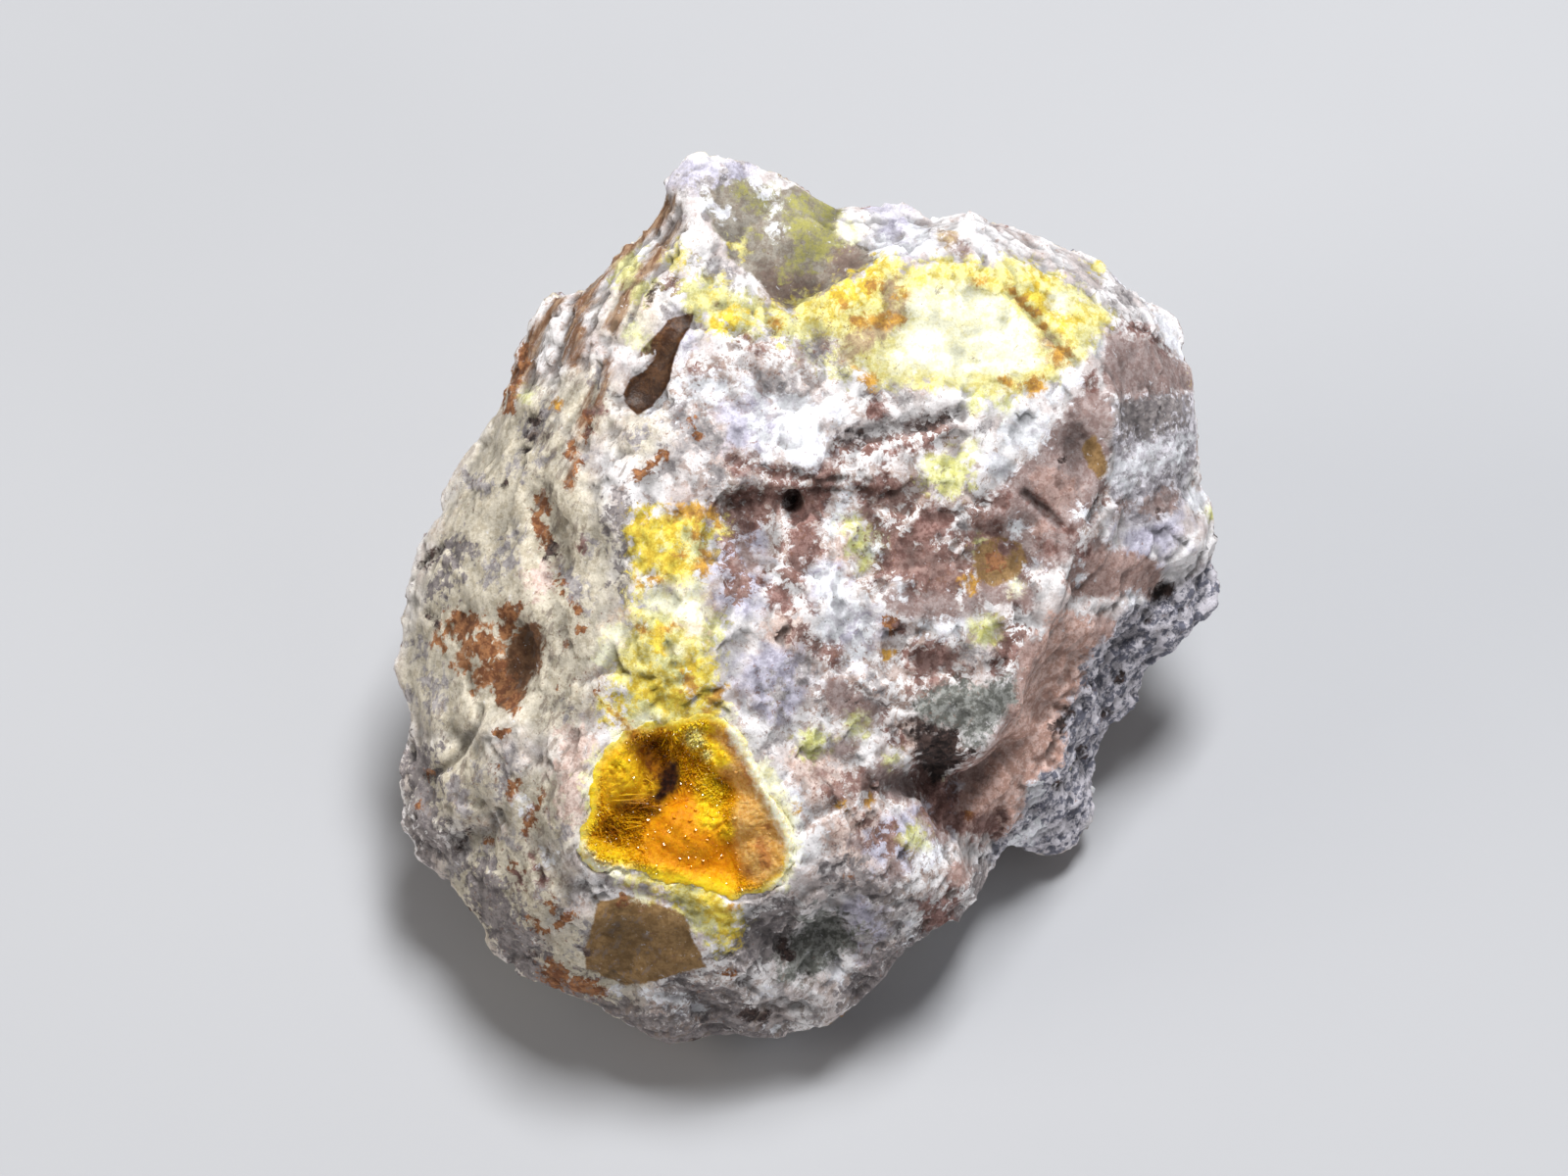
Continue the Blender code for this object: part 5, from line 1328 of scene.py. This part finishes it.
DRUSE_COUNT = 9000
DRUSE_WIDTH = (0.07, 0.2)
DRUSE_LENGTH = (0.1, 0.3)
DRUSE_SINK = 0.08
DRUSE_INSET = 0.3  # the crystals keep this far from the vug's edge
DRUSE_LEAN = 0.45
DRUSE_CHANCE = 0.9  # that a place has a crystal
SHELF_LOSS, BARE_LOSS = 0.75, 0.5  # how much of that chance the shelf and the bare kinds lose
SHELF_FADE, BARE_FADE, HOLE_FADE = (-0.2, 0.3), (-0.6, 0.3), (-0.3, 0.1)
BARE_SHRINK = 0.5  # how much smaller the crystals of the bare kinds are
NEEDLE_SPRAYS = (  # right, up, angle in degrees, count, length, spread in degrees, height above the druse
    (-12.6, -13.1, 1, 7, 2.3, 3, 0.3),
    (-12.3, -14.7, -4, 6, 1.4, 9, 0.3),
    (-10.0, -13.6, 175, 8, 1.2, 12, 0.3),
    (-9.2, -9.2, -80, 12, 0.9, 30, 0.2),
    (-10.8, -12.0, -20, 12, 0.8, 40, 0.2),
    (-8.6, -13.0, 100, 12, 0.7, 40, 0.2),
    (-13.6, -15.0, -60, 12, 0.8, 40, 0.2),
    (-7.0, -11.4, 160, 12, 0.8, 40, 0.2),
)
GLINTS = [
    (-11.7, -11.8), (-8.6, -12.2), (-7.5, -12.6), (-7.6, -14), (-10.5, -15.8), (-9.7, -16.3),
    (-7.9, -17.8),
    (-12.0, -10.6), (-9.0, -13.2), (-9.2, -15.2), (-8.0, -15.9), (-6.8, -16.0), (-11.0, -17.0),
    (-6.4, -14.6), (-5.9, -12.9), (-8.7, -9.4), (-9.9, -9.0), (-12.9, -13.6), (-13.3, -16.4), (-7.2, -18.4),
]
GLINT_MIDDLE, GLINT_SPREAD, GLINT_COUNT = (-8.5, -15.0), (2.6, 2.6), 60
GLINT_SIZE = (0.12, 0.3)
GLINT_FACE = (0.05, 0.42, 0.9)
GLINT_INSET, GLINT_LEAN, GLINT_SINK = 0.5, 0.12, 0.1
GLINT_LENGTH = (0.5, 0.16)  # this share of its size and this much more
NEEDLE_WIDTH = (0.045, 0.085)
NEEDLE_SCATTER = 0.28  # of a spray's feet, mm
NEEDLE_RISE = 0.12  # how steeply the needles rise, and how much that varies
NEEDLE_LIFTS, NEEDLE_LENGTHS = (0.2, 1.2), (0.5, 1.1)  # shares of the spray's own
SEED = 11


def grid_reader(surface):
    """Reads the crust's height and slope at places."""
    places, top, inside, _, shape, _ = surface
    grid, deep = top.reshape(shape), inside.reshape(shape)
    slope_x, slope_y = np.gradient(grid, CRUST_CELL)

    def read(spots):
        i, j = np.clip(grid_cells(places, spots), 0, np.array(shape) - 1).T
        normals = np.stack([-slope_x[i, j], -slope_y[i, j], np.ones(len(spots))], 1)
        return grid[i, j], normals / np.linalg.norm(normals, axis=1)[:, None], deep[i, j]

    return read


def make_druse(read, rng):
    """Thousands of tiny crystals that stand on the crust."""
    edge = np.array(VUG_EDGE)
    spots = rng.uniform(edge.min(0), edge.max(0), size=(3 * DRUSE_COUNT, 2))
    heights, normals, inside = read(spots)
    fields = crust_fields(spots, inside)
    bare = ramp(np.maximum.reduce([fields[name] for name in ("orange", "gold", "shelf")]), *BARE_FADE)
    chance = DRUSE_CHANCE - SHELF_LOSS * ramp(fields["shelf"], *SHELF_FADE) - BARE_LOSS * bare
    chance = chance - ramp(fields["hole"], *HOLE_FADE)
    chosen = (inside > DRUSE_INSET) & (rng.uniform(size=len(spots)) < chance)
    chosen = np.flatnonzero(chosen)[:DRUSE_COUNT]
    spots, heights, normals = spots[chosen], heights[chosen], normals[chosen]
    directions = normals + rng.normal(size=normals.shape) * DRUSE_LEAN
    small = 1 - BARE_SHRINK * bare[chosen]
    widths = rng.uniform(*DRUSE_WIDTH, size=len(spots)) * small
    lengths = rng.uniform(*DRUSE_LENGTH, size=len(spots)) * small**2 + DRUSE_SINK
    feet = np.c_[spots, heights] - normals * DRUSE_SINK
    return crystal_mesh(
        "druse_crystals", feet, directions, widths, lengths, sides=4, point_share=0.45, rng=rng
    )


def make_glints(read, rng):
    """Larger crystals with a broad face towards the top of the specimen, which catch the light."""
    more = rng.normal(GLINT_MIDDLE, GLINT_SPREAD, size=(GLINT_COUNT, 2))
    spots = np.concatenate([np.array(GLINTS), more])
    heights, _, inside = read(spots)
    spots, heights = spots[inside > GLINT_INSET], heights[inside > GLINT_INSET]
    directions = np.array(GLINT_FACE) + rng.normal(size=(len(spots), 3)) * GLINT_LEAN
    sizes = rng.uniform(*GLINT_SIZE, size=len(spots))
    lengths = sizes * GLINT_LENGTH[0] + GLINT_LENGTH[1]
    feet = np.c_[spots, heights - GLINT_SINK]
    return crystal_mesh(
        "glint_crystals", feet, directions, sizes, lengths, sides=5, point_share=0.02, rng=rng
    )


def make_needles(read, rng):
    """Long thin crystals that cross the cleft and fringe the hollows."""
    feet, directions, lengths = [], [], []
    for right, up, angle, count, length, spread, lift in NEEDLE_SPRAYS:
        spots = np.array((right, up)) + rng.normal(size=(count, 2)) * NEEDLE_SCATTER
        heights, _, _ = read(spots)
        turn = np.radians(angle + rng.normal(size=count) * spread)
        rise = rng.normal(size=count) * NEEDLE_RISE + NEEDLE_RISE
        feet.append(np.c_[spots, heights + lift * rng.uniform(*NEEDLE_LIFTS, size=count)])
        directions.append(np.c_[np.cos(turn), np.sin(turn), rise])
        lengths.append(length * rng.uniform(*NEEDLE_LENGTHS, size=count))
    feet, directions, lengths = (np.concatenate(parts) for parts in (feet, directions, lengths))
    widths = rng.uniform(*NEEDLE_WIDTH, size=len(feet))
    return crystal_mesh(
        "needle_crystals", feet, directions, widths, lengths, sides=6, point_share=0.12, rng=rng
    )


def paint_crust(obj):
    """Stores the kinds of druse as fields on the piece's vertices."""
    places = mesh_points(obj.data)[:, :2]
    return store_fields(obj.data, crust_fields(places, area_field(places, VUG_EDGE)))


CRUST_LAYERS = {  # two tones, edge wander and softness in mm, share of the darker tone
    "rim": ((0.84, 0.70, 0.17), (0.72, 0.54, 0.06), 0.7, 0.4, 0.45),
    "gold": ((0.93, 0.58, 0.015), (0.80, 0.42, 0.008), 0.6, 0.6, 0.45),
    "shelf": ((0.74, 0.44, 0.14), (0.60, 0.30, 0.065), 0.6, 0.4, 0.45),
    "orange": ((0.82, 0.33, 0.003), (0.72, 0.25, 0.002), 0.6, 0.9, 0.4),
    "lemon": ((0.93, 0.66, 0.02), (0.86, 0.50, 0.009), 0.9, 0.45, 0.35),
    "russet": ((0.50, 0.22, 0.06), (0.40, 0.16, 0.04), 0.6, 0.25, 0.5),
    # Deep brown, painted shade in the cleft and around the hole.
    "brown_shade": ((0.44, 0.16, 0.004), (0.22, 0.065, 0.002), 0.8, 0.6, 0.5),
    "cream": ((0.90, 0.82, 0.35), (0.82, 0.66, 0.15), 0.6, 0.3, 0.4),
    # Near black, painted shade in the deep hole.
    "hole": ((0.05, 0.012, 0.001), (0.015, 0.003, 0.0005), 0.4, 0.35, 0.5),
    "pale": ((0.95, 0.93, 0.74), (0.90, 0.80, 0.48), 0.9, 0.4, 0.35),
}
CRUST_BASE = ((0.82, 0.43, 0.007), (0.62, 0.25, 0.003))
CRUST_TURN = (0.42, 0.6)  # the mottle's values between which its tones change
CRUST_EDGE_NOISE = (0.5, 6, 0.7, 0.5, 21.0)  # size in mm, detail, roughness, warp, seed
CRUST_MOTTLE = (0.35, 5, 0.7, 0.0, 23.0)
CRUST_SHINE, CRYSTAL_SHINE = (0.42, 0.12), (0.12, 0.4)  # roughness and specular level
MATT_ROUGHNESS, MATT_EDGE = 0.8, (0.48, 0.54)  # of the shelf and the pale rim
MOTTLE_BUMP, FACET_SIZE, FACET_BUMP = 0.12, 0.16, 0.03  # mm
CRYSTAL_BODY = {  # the shader's inputs for light inside the crystals
    "IOR": 1.66,
    "Subsurface Weight": 0.25,
    "Subsurface Radius": (1.0, 0.55, 0.08),
    "Subsurface Scale": 0.5 * MM,
}


def crust_material(name, where, grainy):
    g = Graph(name)
    fine, mottle = g.noise(*CRUST_EDGE_NOISE), g.noise(*CRUST_MOTTLE)
    colour = g.mix(g.ramp(mottle, *CRUST_TURN), *CRUST_BASE)
    for layer, tones_and_edge in CRUST_LAYERS.items():
        colour = g.layer(colour, g.field(where[layer]), fine, CRUST_WANDER, mottle, *tones_and_edge)
    roughness, specular = CRUST_SHINE if grainy else CRYSTAL_SHINE
    matt = g.math("MAXIMUM", *(g.ramp(g.field(where[kind]), *MATT_EDGE) for kind in ("shelf", "pale")))
    g.surface({
        "Base Color": colour,
        "Roughness": g.math("MULTIPLY_ADD", matt, MATT_ROUGHNESS - roughness, roughness),
        "Specular IOR Level": specular,
        **CRYSTAL_BODY,
    })
    if grainy:
        facets = g.cells(FACET_SIZE, seed=25.0)
        g.surface({"Normal": g.bump([(mottle, MOTTLE_BUMP), (facets, FACET_BUMP)])})
    return g.material


# ---------------------------------------------------------------- finishing
def finish_piece(obj, material, node=None):
    """Sets a piece drawn in the face frame down in the part and hands it to the frame."""
    obj.data.transform(TO_WORLD @ Matrix.Scale(MM, 4))
    obj.data.materials.clear()
    obj.data.materials.append(material)
    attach(obj, "root")
    if node:
        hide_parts(node)


LIGHT_DISTANCE = 0.7  # from the face frame's origin, m
LIGHTS = {  # direction in the face frame, size in m, power in W, colour
    "key": ((0.15, 0.75, 0.8), 0.22, 6.4, (0.95, 0.97, 1.0)),
    "front": ((0.65, -0.5, 0.7), 0.4, 0.8, (0.98, 0.98, 1.0)),
    "fill": ((-0.9, 0.15, 0.6), 0.35, 1.3, (1.0, 0.95, 0.87)),
}
WORLD_COLOUR, WORLD_STRENGTH = (0.93, 0.95, 1.0, 1), 0.13
FLOOR_REACH = 1.5  # m
FLOOR_TONES = ((0.46, 0.46, 0.47), (0.49, 0.49, 0.50))
FLOOR_NOISE = (40.0, 3, 0.5)  # size in mm, detail, roughness
FLOOR_ROUGHNESS = 0.8


def add_light(name, direction, size, energy, colour):
    """An area light that shines on the specimen from this direction in the face frame."""
    light = bpy.data.lights.new(name, "AREA")
    light.size = size
    light.energy = energy
    light.color = colour
    obj = new_object(name, light)
    target = TO_WORLD.translation
    place = target + TO_WORLD.to_3x3() @ Vector(direction).normalized() * LIGHT_DISTANCE
    obj.location = place
    obj.rotation_euler = (place - target).to_track_quat("Z", "Y").to_euler()


def make_stage():
    """The floor, the lights and the camera."""
    bm = bmesh.new()
    bmesh.ops.create_grid(bm, x_segments=1, y_segments=1, size=FLOOR_REACH)
    floor = object_from(bm, "floor")
    g = Graph("floor")
    g.surface({"Base Color": g.mix(g.noise(*FLOOR_NOISE), *FLOOR_TONES), "Roughness": FLOOR_ROUGHNESS})
    floor.data.materials.append(g.material)

    world = bpy.data.worlds.new("studio")
    world.use_nodes = True
    background = world.node_tree.nodes["Background"]
    background.inputs["Color"].default_value = WORLD_COLOUR
    background.inputs["Strength"].default_value = WORLD_STRENGTH
    bpy.context.scene.world = world
    for name, light in LIGHTS.items():
        add_light(name, *light)

    camera = bpy.data.cameras.new("camera")
    camera.lens = VIEW_LENS
    camera.shift_x, camera.shift_y = VIEW_SHIFT
    view = new_object("camera", camera)
    view.matrix_world = TO_WORLD @ Matrix.Translation((0, 0, VIEW_DISTANCE))
    bpy.context.scene.camera = view
    bpy.context.scene.view_settings.view_transform = "Standard"


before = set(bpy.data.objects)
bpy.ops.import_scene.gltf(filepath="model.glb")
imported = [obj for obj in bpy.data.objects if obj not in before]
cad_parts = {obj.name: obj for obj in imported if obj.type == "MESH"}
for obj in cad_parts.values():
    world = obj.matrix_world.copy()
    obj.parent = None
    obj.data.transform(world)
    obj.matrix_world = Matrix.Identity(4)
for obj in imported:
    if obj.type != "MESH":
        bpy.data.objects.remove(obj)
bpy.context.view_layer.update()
rock = make_rock()
surface = crust_surface(rock)
raise_brim(rock, surface)
crust = make_crust(surface)
rng = np.random.default_rng(SEED)
read = grid_reader(surface)
druse = make_druse(read, rng)
needles = make_needles(read, rng)
glints = make_glints(read, rng)

finish_piece(rock, rock_material(paint_rock(rock)), "matrix_rock")
where = paint_crust(crust)
finish_piece(crust, crust_material("uranophane_crust", where, grainy=True), "vug_crystal_crust")
for crystals in (druse, needles, glints):
    paint_crust(crystals)
    finish_piece(crystals, crust_material(f"uranophane_{crystals.name}", where, grainy=False))
make_stage()
